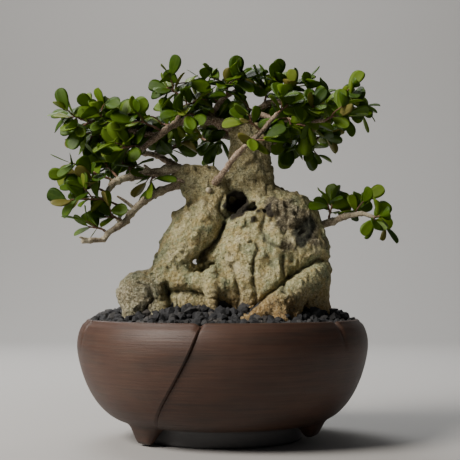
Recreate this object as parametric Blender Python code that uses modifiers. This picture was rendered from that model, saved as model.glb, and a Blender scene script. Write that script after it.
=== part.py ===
"""A shohin bonsai with a swollen, many-rooted base, growing in a hand-built stoneware bowl.

Run it with blender --background --python part.py, or from Blender's text editor. The scene is in
metres with +Z up. The origin is the centre of the pot's foot, and -Y is the tree's front.
Routes are lists of hand-chosen points in millimetres, and tree routes count height from the rim.
"""

import math
import random

import bmesh
import bpy
from mathutils import Matrix, Vector
from mathutils.bvhtree import BVHTree

MM = 0.001

# Pot
POT_RADIUS = 75.0 * MM  # outer radius where the bowl is widest
POT_HEIGHT = 61.0 * MM  # foot to rim
BELLY_HEIGHT = 47.6 * MM  # height of the widest place
RIM_INSET = 4.3 * MM  # how far the wall leans in from there to the rim
WALL = 5.0 * MM
FLOOR = 5.0 * MM  # thickness of the floor
FOOT_RADIUS = 41.5 * MM  # outer radius of the foot ring
FOOT_WIDTH = 5.0 * MM
FOOT_HEIGHT = 5.0 * MM
DRAIN_RADIUS = 7.0 * MM
SEAM_ANGLES = (-98.0, 22.0, 142.0)  # degrees, where each panel's edge meets the rim
SEAM_SWEEP = 37.0  # degrees that a seam runs round the bowl on its way down
SEAM_GAP = 1.6  # degrees between the columns on either side of a seam
PANEL_LAP = 1.5 * MM  # how far a panel's edge stands proud of the next panel
PANEL_LAP_ANGLE = 40.0  # degrees over which it rises
NOTCH_DEPTH = 2.0 * MM  # dip of the rim at a seam
PINCH_DEPTH = 2.4 * MM  # each panel's rim is pinched half way between its seams
PINCH_LENGTH = 14.0 * MM  # how far the crease runs down from the rim
COLUMNS_PER_PANEL = 16
WALL_STEPS = 9  # rows of the wall between the foot and the rim
CORNER_FOOT_RADIUS = 48.5 * MM
CORNER_FOOT_LIFT = 1.6 * MM
CORNER_FOOT_WIDTH = 10.0 * MM  # half the width where it leaves the bowl
CORNER_FOOT_LAG = 14.0  # degrees that its point lies back from the seam's lower end

# Drainage
FIT_GAP = 0.3 * MM  # clearance between pieces that touch
NET_SIDE = 26.0 * MM
NET_THICKNESS = 0.8 * MM
NET_HOLES = 4  # along each side
NET_BAR = 1.5 * MM
CLIP_WIRE_RADIUS = 0.75 * MM
CLIP_REACH = 15.0 * MM  # half the length of the clip under the floor

# Soil
MOUND_HEIGHT = 9.0 * MM  # top of the mound above the rim
SOIL_EDGE_DROP = 1.5 * MM  # the grit meets the wall this far under the rim
MOUND_CENTRE = (0.0, 8.0)  # mm
MOUND_STRETCH = 1.25
MOUND_RADIUS = 56.0  # mm, where the mound ends, measured across the pot
SOIL_RINGS = 5
SOIL_COLUMNS = 28

# Tree
TREE_HEIGHT = 138.0 * MM  # top leaf above the rim
DESIGN_HEIGHT = 138.0 * MM  # height that the routes below were drawn at
PLUG_RADIUS = 24.0 * MM  # root plug inside the soil
PLUG_DEPTH = 30.0 * MM
PLUG_CENTRE = (14.0, 0.0)  # mm
TRUNK_VOXEL = 1.3 * MM
TRUNK_DETAIL = 0.042  # share of the remeshed faces kept
LEAF_LENGTH = 10.5 * MM
LEAF_WIDTH = 6.6 * MM
LEAF_THICKNESS = 0.7 * MM
TWIG_RADIUS = 0.55 * MM
LEAF_SPACING = 3.0 * MM
LEAF_TRIES = 14  # turns tried before a leaf is left out for want of room
TWIG_RISE = 0.1  # share of its length that a twig arches up
TWIG_POINTS = 4
CROWN_MIDDLE = (0, 0, 70)  # mm, leaves face away from here

# Masses of the swollen base: chains of (x, y, z, radius).
MASSES = (
    # stem base and left leg, down to the round root
    ((-5, 0, 63, 12), (-6, -2, 56, 11), (-12, -6, 47, 13.5), (-18, -9, 38, 12), (-24, -12, 28, 10), (-30, -14, 20, 8)),
    # round root at the left
    ((-41, -15, 13, 12), (-40, -14, 11, 12)),
    ((-38, -14, 17, 8), (-29, -14, 20, 7)),
    # left stem
    ((-5, 0, 62, 11), (-8, 0, 70, 10), (-15, -1, 73, 8), (-22, -3, 73.5, 6)),
    # right stem, up into the crown
    ((17, 0, 57, 14), (15, 2, 68, 11.5), (15, 2, 78, 10), (14, 2, 90, 9), (12, 3, 97, 6.5), (8, 4, 103, 4.5)),
    # right shoulder and flank
    ((24, -2, 50, 16), (34, -1, 48, 17), (38, -2, 34, 16.5), (38, -3, 20, 15), (38, -3, 4, 15)),
    # two folds of the belly
    ((12, -8, 50, 8), (10, -14, 36, 9), (11, -17, 20, 9), (13, -18, 4, 8)),
    ((24, -9, 52, 9), (26, -14, 36, 10), (25, -18, 20, 9), (25, -20, 4, 8)),
    # fold between the leg and the belly
    ((-1, -5, 43, 8), (-2, -6, 32, 9), (0, -6, 20, 9)),
    # back of the base
    ((14, 8, 48, 18), (14, 10, 30, 22), (14, 8, 8, 22)),
    # low roots across the front
    ((-31, -17, 21, 5), (-21, -20, 20.5, 4.5), (-11, -22, 19, 4.2), (0, -22, 18, 5), (9, -20, 17, 6)),
    ((-27, -8, 12, 4.5), (-17, -8, 10, 4.2), (-7, -8, 6, 4.5)),
    ((-5, -23, 25, 3.4), (-5, -26, 16, 4), (-5, -30, 3, 2.6)),
    ((3, -21, 20, 5), (4, -24, 11, 5), (4, -24, 3, 4.5)),
    # ringed root running down to the front
    ((50, -10, 24, 7), (44, -18, 19, 6), (36, -26, 14, 6), (27, -33, 8.5, 6), (17, -38, 2, 5), (11, -41, -2, 3.5)),
    ((27, -33, 7, 5), (29, -38, 0, 4)),
    ((37, -22, 11, 5), (34, -30, 2, 4.5)),
    # roots at the right
    ((50, -7, 14, 6), (51, -11, 4, 5.2), (54, -14, -3, 4)),
    ((51, -3, 20, 6), (53, -2, 10, 6), (58, -4, -2, 5)),
    # roots at the back
    ((-4, 14, 24, 8), (-14, 22, 14, 6.5), (-24, 30, 4, 4.5)),
    ((30, 16, 24, 9), (38, 25, 12, 6.5), (44, 32, 2, 4.5)),
    ((10, 22, 26, 9), (8, 32, 12, 6), (6, 38, 3, 4)),
)

# Hollows taken out of it.
HOLLOWS = (
    ((7, -18, 61, 4.5), (7, -8, 60, 4.5)),
    ((8, -16, 56, 2.6), (15, -17, 56, 2.6), (23, -17, 56, 2.2)),
    ((-13, -30, 29.5, 2.6), (-13, 6, 29.5, 2.6)),
)

# Branches: chains of (x, y, z, radius), each starting inside the trunk or the branch that carries it.
BRANCHES = {
    "branch_low_left": (
        (-18, -2, 73, 2.6), (-25, -5, 69.5, 2.2), (-37, -12, 63, 1.9), (-46, -20, 54, 1.7),
        (-49, -24, 49, 1.6), (-56, -30, 44, 1.4), (-59, -34, 40, 1.3), (-68, -40, 39, 1.1),
    ),
    "branch_upper_left": (
        (-19, -2, 76, 2.8), (-26, -5, 78, 2.4), (-36, -8, 76, 2.2), (-43, -12, 74, 2.1),
        (-50, -14, 72, 1.9), (-55, -16, 70, 1.7), (-57, -18, 67, 1.4), (-59, -20, 63, 1.2),
    ),
    "dead_twig": ((-20, -7, 71.5, 1.0), (-27, -9, 73, 0.9), (-40, -14, 74.5, 0.6)),
    "branch_crown_left": (
        (9, 4, 100, 3.0), (-4, 2, 104, 2.4), (-14, -2, 104, 2.1), (-24, -6, 102, 1.8),
        (-32, -12, 95, 1.6), (-43, -18, 86, 1.4),
    ),
    "leader_left": ((-24, -6, 102, 1.2), (-22, -6, 110, 1.1), (-21, -6, 117, 1.0), (-18, -6, 123, 0.8)),
    "leader_middle": (
        (3, 4, 103, 2.0), (-5, 6, 107, 1.6), (-1, 6, 115, 1.3), (4, 6, 119, 1.1), (10, 5, 124, 0.9),
    ),
    "branch_front": (
        (-6, -5, 69, 2.2), (-2, -13, 72, 1.7), (4, -18, 80, 1.5), (11, -22, 87, 1.4),
        (18, -24, 93, 1.2), (23, -24, 99, 1.1), (28, -24, 104, 1.0),
    ),
    "branch_right": (
        (12, 3, 97, 3.0), (17, 4, 108, 1.9), (24, 4, 114, 1.6), (33, 4, 114, 1.4), (38, 4, 112, 1.3),
        (47, 4, 113, 1.2), (57, 4, 115, 1.0), (66, 4, 115, 0.8),
    ),
    "branch_low_right": (
        (44, 0, 45, 3.2), (49, -1, 48, 2.4), (54, -4, 50, 1.9), (59, -6, 51.5, 1.7), (64, -8, 53, 1.5),
        (71, -12, 54, 1.2), (77, -14, 52, 1.0),
    ),
    "branch_left_top": ((-32, -12, 95, 1.3), (-46, -9, 97, 1.2), (-60, -8, 101, 1.0), (-74, -6, 104, 0.8)),
    "branch_left_back": (
        (-18, 0, 76, 2.4), (-26, 8, 82, 1.8), (-38, 16, 88, 1.5), (-50, 22, 90, 1.2), (-62, 25, 90, 1.0),
    ),
    "branch_back": ((12, 5, 92, 3.0), (6, 18, 98, 1.9), (-2, 32, 100, 1.5), (-10, 46, 99, 1.1)),
    "branch_back_right": ((15, 5, 88, 2.6), (28, 16, 96, 1.8), (40, 27, 99, 1.4), (52, 36, 98, 1.0)),
    "branch_right_front": ((17, 4, 108, 1.6), (30, -4, 104, 1.3), (42, -12, 102, 1.1), (52, -18, 101, 0.9)),
}

# Leafy shoots: (branch that carries it, share of the way along, tip, leaves).
SHOOTS = (
    ("branch_low_left", 0.52, (-81, -32, 60), 7),
    ("branch_low_left", 0.62, (-63, -24, 53), 4),
    ("branch_low_left", 0.78, (-70, -30, 48), 4),
    ("branch_upper_left", 0.55, (-60, -8, 84), 5),
    ("branch_upper_left", 0.80, (-82, -20, 74), 6),
    ("branch_upper_left", 0.97, (-74, -26, 68), 5),
    ("branch_upper_left", 0.35, (-38, -18, 64), 3),
    ("branch_crown_left", 0.95, (-58, -22, 84), 5),
    ("branch_crown_left", 0.72, (-50, -24, 100), 5),
    ("branch_crown_left", 0.45, (-18, -22, 104), 5),
    ("branch_left_top", 0.98, (-84, -6, 110), 5),
    ("branch_left_top", 0.66, (-66, -16, 114), 5),
    ("branch_left_top", 0.40, (-54, -18, 108), 5),
    ("branch_left_top", 0.82, (-78, -14, 95), 5),
    ("leader_left", 0.98, (-18, -8, 131), 5),
    ("leader_left", 0.60, (-32, -10, 122), 5),
    ("leader_left", 0.35, (-10, -14, 112), 4),
    ("leader_middle", 0.98, (14, 2, 131), 6),
    ("leader_middle", 0.70, (2, -6, 126), 5),
    ("leader_middle", 0.50, (-12, 10, 122), 5),
    ("branch_front", 0.98, (36, -26, 111), 6),
    ("branch_front", 0.78, (8, -30, 102), 5),
    ("branch_front", 0.60, (24, -34, 90), 4),
    ("branch_right", 0.30, (24, 0, 130), 6),
    ("branch_right", 0.42, (38, -4, 124), 6),
    ("branch_right", 0.62, (54, 0, 126), 6),
    ("branch_right", 0.98, (78, 0, 122), 6),
    ("branch_right", 0.85, (74, -4, 108), 5),
    ("branch_right_front", 0.98, (66, -20, 104), 5),
    ("branch_right_front", 0.70, (48, -26, 110), 5),
    ("branch_right_front", 0.45, (36, -22, 96), 4),
    ("branch_low_right", 0.98, (85, -16, 47), 4),
    ("branch_low_right", 0.72, (72, -4, 60), 5),
    ("branch_low_right", 0.35, (58, -2, 64), 5),
    ("branch_left_back", 0.98, (-74, 28, 96), 6),
    ("branch_left_back", 0.65, (-52, 32, 102), 6),
    ("branch_back", 0.98, (-18, 56, 104), 6),
    ("branch_back", 0.65, (6, 44, 110), 6),
    ("branch_back", 0.40, (-14, 26, 112), 6),
    ("branch_back_right", 0.98, (62, 44, 104), 6),
    ("branch_back_right", 0.60, (36, 38, 110), 6),
)


def clear_scene():
    for obj in list(bpy.data.objects):
        bpy.data.objects.remove(obj, do_unlink=True)


def make_collection(name, hidden=False):
    collection = bpy.data.collections.new(name)
    bpy.context.scene.collection.children.link(collection)
    collection.hide_render = hidden
    return collection


def make_material(name, colour, roughness):
    material = bpy.data.materials.new(name)
    material.use_nodes = True
    shader = material.node_tree.nodes["Principled BSDF"]
    shader.inputs["Base Color"].default_value = (*colour, 1.0)
    shader.inputs["Roughness"].default_value = roughness
    material.diffuse_color = (*colour, 1.0)
    return material


def add_object(name, mesh, collection, material=None):
    obj = bpy.data.objects.new(name, mesh)
    collection.objects.link(obj)
    if material:
        obj.data.materials.clear()
        obj.data.materials.append(material)
    return obj


def add_helper(name, mesh, helpers):
    """A cutter or a stock shape, kept out of the render."""
    obj = add_object(name, mesh, helpers)
    obj.hide_render = True
    obj.display_type = "WIRE"
    return obj


def baked_mesh(obj, name):
    """The mesh of an object as its modifiers leave it, closed up and facing out."""
    bpy.context.view_layer.update()
    graph = bpy.context.evaluated_depsgraph_get()
    mesh = bpy.data.meshes.new_from_object(obj.evaluated_get(graph))
    mesh.name = name
    build = bmesh.new()
    build.from_mesh(mesh)
    bmesh.ops.remove_doubles(build, verts=build.verts, dist=1e-6)
    bmesh.ops.recalc_face_normals(build, faces=build.faces)
    build.to_mesh(mesh)
    build.free()
    return mesh


def boolean(obj, other, operation):
    modifier = obj.modifiers.new(f"{operation.lower()} {other.name}", "BOOLEAN")
    modifier.operation = operation
    modifier.solver = "EXACT"
    modifier.object = other
    return modifier


def turned(name, outline, steps, collection, material=None):
    """A closed outline of (radius, height) points, turned about Z. It runs down at +X."""
    mesh = bpy.data.meshes.new(name)
    points = [(radius, 0.0, height) for radius, height in outline]
    edges = [(i, (i + 1) % len(points)) for i in range(len(points))]
    if outline[0][0] == 0.0 and outline[-1][0] == 0.0:
        edges = edges[:-1]
    mesh.from_pydata(points, edges, [])
    obj = add_object(name, mesh, collection, material)
    screw = obj.modifiers.new("turn", "SCREW")
    screw.steps = steps
    screw.render_steps = steps
    screw.use_merge_vertices = True
    screw.merge_threshold = 1e-5
    screw.use_normal_calculate = True
    return obj


def tube(name, points, radii, collection, material=None, resolution=2):
    """A round bar through points, thick as the radii say."""
    curve = bpy.data.curves.new(name, "CURVE")
    curve.dimensions = "3D"
    curve.bevel_depth = 1.0
    curve.bevel_resolution = resolution
    curve.use_fill_caps = True
    spline = curve.splines.new("POLY")
    spline.points.add(len(points) - 1)
    for place, point, radius in zip(spline.points, points, radii):
        place.co = (*point, 1.0)
        place.radius = radius
    return add_object(name, curve, collection, material)


# --- pot ---------------------------------------------------------------------------------------


def wall_radius(height):
    """Outer radius of the bowl: a flattened quarter round up to the belly, then a lean inwards to the rim."""
    if height < BELLY_HEIGHT:
        share = max(height - FOOT_HEIGHT, 0.0) / (BELLY_HEIGHT - FOOT_HEIGHT)
        return FOOT_RADIUS + (POT_RADIUS - FOOT_RADIUS) * (1.0 - (1.0 - share) ** 1.5) ** 0.5
    return POT_RADIUS - RIM_INSET * ((height - BELLY_HEIGHT) / (POT_HEIGHT - BELLY_HEIGHT)) ** 2.3


def outer_wall(steps):
    """(radius, height) up the bowl from the foot to the rim, with the points closer together low down."""
    heights = [FOOT_HEIGHT + (POT_HEIGHT - FOOT_HEIGHT) * (i / steps) ** 1.5 for i in range(steps + 1)]
    return [(wall_radius(height), height) for height in heights]


def inner_wall(inset):
    """The outer wall moved in by inset, square to itself, from the top of the floor to just under the rim."""
    wall = outer_wall(2 * WALL_STEPS)
    floor = FOOT_HEIGHT + FLOOR + (inset - WALL)
    points = []
    for i, (radius, height) in enumerate(wall):
        before, after = wall[max(i - 1, 0)], wall[min(i + 1, len(wall) - 1)]
        along = Vector((after[0] - before[0], after[1] - before[1])).normalized()
        moved = (radius - along.y * inset, height + along.x * inset)
        if i % 2 == 0 and FOOT_HEIGHT + FLOOR < height < POT_HEIGHT:
            points.append(moved)
    return [(points[0][0] - 8.0 * MM, floor), *points]


def lip_radius():
    """Radius of the top of the lip."""
    return wall_radius(POT_HEIGHT) - WALL / 2


def seam_turn(height):
    """Degrees that a seam has run round the bowl at this height."""
    return -SEAM_SWEEP * max(0.0, 1.0 - height / POT_HEIGHT) ** 1.7


def panel_place(column):
    """(angle, lap) of a column of the wall at the rim, and how far it stands proud of the plain bowl."""
    panel, place = divmod(column, COLUMNS_PER_PANEL)
    start = SEAM_ANGLES[panel] + SEAM_GAP / 2
    end = (*SEAM_ANGLES[1:], SEAM_ANGLES[0] + 360.0)[panel] - SEAM_GAP / 2
    angle = start + (end - start) * place / (COLUMNS_PER_PANEL - 1)
    lap = PANEL_LAP * max(0.0, 1.0 - (end - angle) / PANEL_LAP_ANGLE) ** 1.5
    return angle, lap - 0.3 * PANEL_LAP


def lap_panels(mesh):
    """Turns the plain bowl's columns into three panels, each with one edge lying over the next."""
    columns = COLUMNS_PER_PANEL * len(SEAM_ANGLES)
    for vertex in mesh.vertices:
        radius, height = math.hypot(vertex.co.x, vertex.co.y), vertex.co.z
        column = round(math.degrees(math.atan2(vertex.co.y, vertex.co.x)) / 360.0 * columns) % columns
        angle, lap = panel_place(column)
        if radius > wall_radius(height) - WALL / 4 and height > FOOT_HEIGHT / 2:
            angle += seam_turn(height)
            radius += lap * min(max((height - FOOT_HEIGHT) / (2.0 * FLOOR), 0.0), 1.0)
        elif height < FOOT_HEIGHT + FLOOR / 2:
            angle += seam_turn(FOOT_HEIGHT)
        if height > POT_HEIGHT - WALL / 2 and column % COLUMNS_PER_PANEL == 0:
            height -= NOTCH_DEPTH
        turn = math.radians(angle)
        vertex.co = (radius * math.cos(turn), radius * math.sin(turn), height)


def make_pot(collection, helpers, material):
    wall = outer_wall(WALL_STEPS)
    outline = [
        (0.0, FOOT_HEIGHT + FLOOR),
        *inner_wall(WALL),
        (lip_radius(), POT_HEIGHT + 0.3 * MM),
        *reversed(wall),
        (FOOT_RADIUS, 0.0),
        (FOOT_RADIUS - FOOT_WIDTH, 0.0),
        (FOOT_RADIUS - FOOT_WIDTH, FOOT_HEIGHT),
        (0.0, FOOT_HEIGHT),
    ]
    bowl = turned("bowl", outline, COLUMNS_PER_PANEL * len(SEAM_ANGLES), helpers)
    mesh = baked_mesh(bowl, "pot")
    bpy.data.objects.remove(bowl)
    lap_panels(mesh)
    pot = add_object("pot", mesh, collection, material)
    for number, seam in enumerate(SEAM_ANGLES):
        point = seam - SEAM_SWEEP - CORNER_FOOT_LAG
        boolean(pot, corner_foot(f"corner foot {number}", point, helpers), "UNION")
        boolean(pot, rim_pinch(f"rim pinch {number}", seam + 180.0 / len(SEAM_ANGLES), helpers), "DIFFERENCE")
    drain = add_helper("drain hole", cone_mesh("drain hole", DRAIN_RADIUS, DRAIN_RADIUS, 4.0 * FLOOR, 24), helpers)
    drain.location.z = FOOT_HEIGHT + FLOOR / 2
    boolean(pot, drain, "DIFFERENCE")
    return pot


def cone_mesh(name, low_radius, high_radius, depth, segments):
    build = bmesh.new()
    bmesh.ops.create_cone(
        build, cap_ends=True, segments=segments, radius1=low_radius, radius2=high_radius, depth=depth
    )
    mesh = bpy.data.meshes.new(name)
    build.to_mesh(mesh)
    build.free()
    return mesh


def corner_foot(name, degrees, helpers):
    """The corner of a panel, drawn down below the bowl to a blunt point."""
    height = FOOT_HEIGHT + 0.8 * FLOOR - CORNER_FOOT_LIFT
    mesh = cone_mesh(name, 0.45 * CORNER_FOOT_WIDTH, CORNER_FOOT_WIDTH, height, 12)
    foot = add_helper(name, mesh, helpers)
    middle = CORNER_FOOT_LIFT + height / 2
    turn = math.radians(degrees)
    foot.location = (CORNER_FOOT_RADIUS * math.cos(turn), CORNER_FOOT_RADIUS * math.sin(turn), middle)
    foot.rotation_euler = (0.0, 0.0, turn)
    foot.scale = (0.65, 1.0, 1.0)
    return foot


def rim_pinch(name, degrees, helpers):
    """A tapered crease in the outside of the wall, deepest at the rim, leaning out with the wall."""
    low, high = POT_HEIGHT - PINCH_LENGTH, POT_HEIGHT + PINCH_DEPTH
    pinch = add_helper(name, cone_mesh(name, 0.1 * PINCH_DEPTH, PINCH_DEPTH, high - low, 8), helpers)
    turn, lean = math.radians(degrees), wall_radius(low) - wall_radius(POT_HEIGHT)
    middle = wall_radius(POT_HEIGHT) + lean / 2
    pinch.location = (middle * math.cos(turn), middle * math.sin(turn), (low + high) / 2)
    pinch.rotation_euler = (0.0, -math.atan2(lean, high - low), turn)
    return pinch


# --- drainage ----------------------------------------------------------------------------------


def make_net(collection, helpers, material):
    """A square of plastic net over the drain hole."""
    build = bmesh.new()
    bmesh.ops.create_cube(build, size=1.0)
    bmesh.ops.scale(build, vec=(NET_SIDE, NET_SIDE, NET_THICKNESS), verts=build.verts)
    mesh = bpy.data.meshes.new("drain_mesh")
    build.to_mesh(mesh)
    build.free()
    net = add_object("drain_mesh", mesh, collection, material)
    net.location.z = FOOT_HEIGHT + FLOOR + FIT_GAP + NET_THICKNESS / 2
    pitch = (NET_SIDE - NET_BAR) / NET_HOLES
    for i in range(NET_HOLES):
        bars = bmesh.new()
        for j in range(NET_HOLES):
            made = bmesh.ops.create_cube(bars, size=1.0)["verts"]
            bmesh.ops.scale(bars, vec=(pitch - NET_BAR, pitch - NET_BAR, 4.0 * NET_THICKNESS), verts=made)
            bmesh.ops.translate(bars, vec=((j - (NET_HOLES - 1) / 2) * pitch, 0.0, 0.0), verts=made)
        holes = bpy.data.meshes.new(f"net holes {i}")
        bars.to_mesh(holes)
        bars.free()
        cutter = add_helper(f"net holes {i}", holes, helpers)
        cutter.location = (0.0, (i - (NET_HOLES - 1) / 2) * pitch, net.location.z)
        boolean(net, cutter, "DIFFERENCE")
    return net


def clip_top():
    return FOOT_HEIGHT + FLOOR + NET_THICKNESS + 2.0 * FIT_GAP + CLIP_WIRE_RADIUS


def make_clip(collection, material):
    """A wire staple: over the net, down through it and the drain hole, and out under the floor."""
    pitch = (NET_SIDE - NET_BAR) / NET_HOLES
    leg = pitch / 2
    low = FOOT_HEIGHT - FIT_GAP - CLIP_WIRE_RADIUS
    bend = 1.2 * MM
    half = [(leg - bend, clip_top()), (leg, clip_top() - bend), (leg, low + bend), (leg + bend, low), (CLIP_REACH, low)]
    route = [(-x, pitch / 2, z) for x, z in reversed(half)] + [(x, pitch / 2, z) for x, z in half]
    return tube("mesh_clip", route, [CLIP_WIRE_RADIUS] * len(route), collection, material)


# --- soil --------------------------------------------------------------------------------------


def mound_height(x, y):
    """Height of the grit at a place, in metres."""
    across = math.hypot((x / MM - MOUND_CENTRE[0]) / MOUND_STRETCH, y / MM - MOUND_CENTRE[1])
    share = max(0.0, 1.0 - (across / MOUND_RADIUS) ** 2.5)
    return POT_HEIGHT - SOIL_EDGE_DROP + (MOUND_HEIGHT + SOIL_EDGE_DROP) * share


def make_soil(name, collection, material, inset, lift, hole):
    """The grit: the inside of the pot up to the mound, inset from the wall, with a round hole for the roots."""
    wall = inner_wall(WALL + inset)
    edge = lip_radius() - 2.0 * inset
    recess = NET_SIDE * 0.75
    roof = clip_top() + CLIP_WIRE_RADIUS + FIT_GAP
    top = [(edge * (i / SOIL_RINGS) ** 0.8, POT_HEIGHT) for i in range(SOIL_RINGS)]
    outline = [*top, (edge, POT_HEIGHT), *reversed(wall[:-1]), (recess, wall[0][1]), (recess, roof), (0.0, roof)]
    stock = turned(name, outline, SOIL_COLUMNS, collection)
    mesh = baked_mesh(stock, name)
    bpy.data.objects.remove(stock)
    for vertex in mesh.vertices:
        if vertex.co.z > POT_HEIGHT - 0.01 * MM:
            vertex.co.z = mound_height(vertex.co.x, vertex.co.y) + lift
    soil = add_object(name, mesh, collection, material)
    if hole:
        boolean(soil, hole, "DIFFERENCE")
    return soil


def plug(name, radius, top, helpers):
    """The plug of roots inside the soil, as a plain round block."""
    depth = PLUG_DEPTH + top
    block = add_helper(name, cone_mesh(name, 0.8 * radius, radius, depth, 24), helpers)
    block.location = (PLUG_CENTRE[0] * MM, PLUG_CENTRE[1] * MM, POT_HEIGHT + top - depth / 2)
    return block


# --- tree --------------------------------------------------------------------------------------


def on_tree(point):
    """A tree point, given in millimetres from the rim, in metres in the scene."""
    scale = MM * TREE_HEIGHT / DESIGN_HEIGHT
    return Vector((point[0] * scale, point[1] * scale, point[2] * scale + POT_HEIGHT))


def tree_scale():
    return TREE_HEIGHT / DESIGN_HEIGHT


def chain(name, route, helpers):
    """A tube with round ends along a route of (x, y, z, radius), as one stock mesh."""
    points = [on_tree(point) for point in route]
    radii = [point[3] * MM * tree_scale() for point in route]
    stock = tube(name, points, radii, helpers, resolution=4)
    mesh = baked_mesh(stock, name)
    bpy.data.objects.remove(stock)
    build = bmesh.new()
    build.from_mesh(mesh)
    for point, radius in zip(points, radii):
        bmesh.ops.create_icosphere(build, subdivisions=3, radius=radius, matrix=Matrix.Translation(point))
    build.to_mesh(mesh)
    build.free()
    return mesh


def skin_over(obj, voxel):
    """Replaces an object's surface by one closed skin of small even faces."""
    remesh = obj.modifiers.new("one skin", "REMESH")
    remesh.mode = "VOXEL"
    remesh.voxel_size = voxel


def grown(name, routes, helpers, voxel):
    """Several chains grown together into one skin."""
    build = bmesh.new()
    for number, route in enumerate(routes):
        build.from_mesh(chain(f"{name} {number}", route, helpers))
    mesh = bpy.data.meshes.new(name)
    build.to_mesh(mesh)
    build.free()
    stock = add_helper(name, mesh, helpers)
    skin_over(stock, voxel)
    skin = baked_mesh(stock, name)
    bpy.data.objects.remove(stock)
    return skin


def make_trunk(collection, helpers, material, cover):
    """The swollen base with its roots and stems, standing on the grit with its root plug in it.

    It returns the trunk, and the whole skin that it was cut from, which its branches are fitted to.
    """
    voxel = TRUNK_VOXEL * tree_scale()
    trunk = add_object("trunk", grown("trunk", MASSES, helpers, voxel), collection, material)
    hollows = add_helper("hollows", grown("hollows", HOLLOWS, helpers, voxel * 0.7), helpers)
    boolean(trunk, hollows, "DIFFERENCE")
    skin_over(trunk, voxel)
    smooth = trunk.modifiers.new("smooth", "SMOOTH")
    smooth.factor = 0.5
    smooth.iterations = 3
    thin = trunk.modifiers.new("thin out", "DECIMATE")
    thin.ratio = TRUNK_DETAIL
    mesh = baked_mesh(trunk, "trunk")
    trunk.modifiers.clear()
    trunk.data = mesh
    mesh.materials.clear()
    mesh.materials.append(material)
    skin = add_helper("trunk skin", mesh.copy(), helpers)
    boolean(trunk, cover, "DIFFERENCE")
    boolean(trunk, plug("root plug", PLUG_RADIUS, 14.0 * MM, helpers), "UNION")
    return trunk, skin


def swollen_copy(obj, name, helpers):
    """A copy of an object, grown outwards by the fit gap, to cut a neighbour with."""
    copy = add_helper(name, baked_mesh(obj, name), helpers)
    displace = copy.modifiers.new("grow", "DISPLACE")
    displace.strength = FIT_GAP
    displace.mid_level = 0.0
    return copy


def make_branch(name, route, carriers, collection, material):
    points = [on_tree(point) for point in route]
    radii = [point[3] * MM * tree_scale() for point in route]
    stock = tube(name, points, radii, collection, resolution=2)
    mesh = baked_mesh(stock, name)
    bpy.data.objects.remove(stock)
    branch = add_object(name, mesh, collection, material)
    for carrier in carriers:
        boolean(branch, carrier, "DIFFERENCE")
    return branch


def along_route(route, share):
    """The point at a share of the way along a branch's route."""
    points = [on_tree(point) for point in route]
    lengths = [(b - a).length for a, b in zip(points, points[1:])]
    left = share * sum(lengths)
    place = 0
    while place < len(lengths) - 1 and left > lengths[place]:
        left -= lengths[place]
        place += 1
    return points[place].lerp(points[place + 1], left / lengths[place])


def leaf_mesh(build, base, axis, face, length, thickness):
    """A thin obovate leaf: a short square stalk inside the twig, then a lens with a blunt tip."""
    side = axis.cross(face).normalized()
    face = side.cross(axis).normalized()
    width = LEAF_WIDTH * length / LEAF_LENGTH
    stalk = 0.3 * MM
    rim = ((0.5, 0.44), (0.84, 0.44))
    points = [base + side * stalk, base - side * stalk, base + face * stalk]
    points += [base + axis * a * length + side * s * w * width for a, w in rim for s in (-1, 1)]
    points.append(base + axis * length)
    points += [base + axis * 0.62 * length + face * t * thickness / 2 for t in (-1, 1)]
    verts = [build.verts.new(point) for point in points]
    made = bmesh.ops.convex_hull(build, input=verts, use_existing_faces=False)
    loose = [item for item in made["geom_interior"] if isinstance(item, bmesh.types.BMVert)]
    bmesh.ops.delete(build, geom=loose, context="VERTS")


def bvh_from(build):
    bvh = BVHTree.FromBMesh(build)
    build.free()
    return bvh


def leaf_bvh(base, axis, face, length):
    """The leaf a little larger, to find what it would touch."""
    build = bmesh.new()
    leaf_mesh(build, base, axis, face, length + FIT_GAP, LEAF_THICKNESS + 2.0 * FIT_GAP)
    return bvh_from(build)


def twig_bvh(points, radius):
    """The twig grown by the fit gap, to find what it would touch."""
    build = bmesh.new()
    for start, end in zip(points, points[1:]):
        turn = (end - start).to_track_quat("Z", "Y").to_matrix().to_4x4()
        bmesh.ops.create_cone(
            build, cap_ends=True, segments=6, radius1=radius + FIT_GAP, radius2=radius + FIT_GAP,
            depth=(end - start).length, matrix=Matrix.Translation((start + end) / 2) @ turn,
        )
    return bvh_from(build)


def clear_of(bvh, taken):
    return not any(bvh.overlap(other) for other in taken)


def twig_route(start, tip):
    """A twig from start to tip with a slight rise in the middle."""
    rise = (tip - start).length * TWIG_RISE
    points = []
    for i in range(TWIG_POINTS):
        share = i / (TWIG_POINTS - 1)
        points.append(start.lerp(tip, share) + Vector((0.0, 0.0, rise * math.sin(math.pi * share))))
    return points


def place_twig(shoot, taken):
    """The route of a shoot's twig. It starts as near the branch that carries it as the fit gap allows."""
    carrier, share, tip, _ = shoot
    base = along_route(BRANCHES[carrier], share)
    tip = on_tree(tip)
    radius = TWIG_RADIUS * tree_scale()
    for lift in range(6):
        for step in range(1, 30):
            end = tip + Vector((0.0, 0.0, 2.0 * MM * lift))
            start = base + (end - base).normalized() * step * FIT_GAP
            points = twig_route(start, end)
            bvh = twig_bvh(points, radius)
            if clear_of(bvh, taken):
                taken.append(bvh)
                return points, bvh
    raise ValueError(f"no room for the twig of a shoot on {carrier} at {share}")


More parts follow.
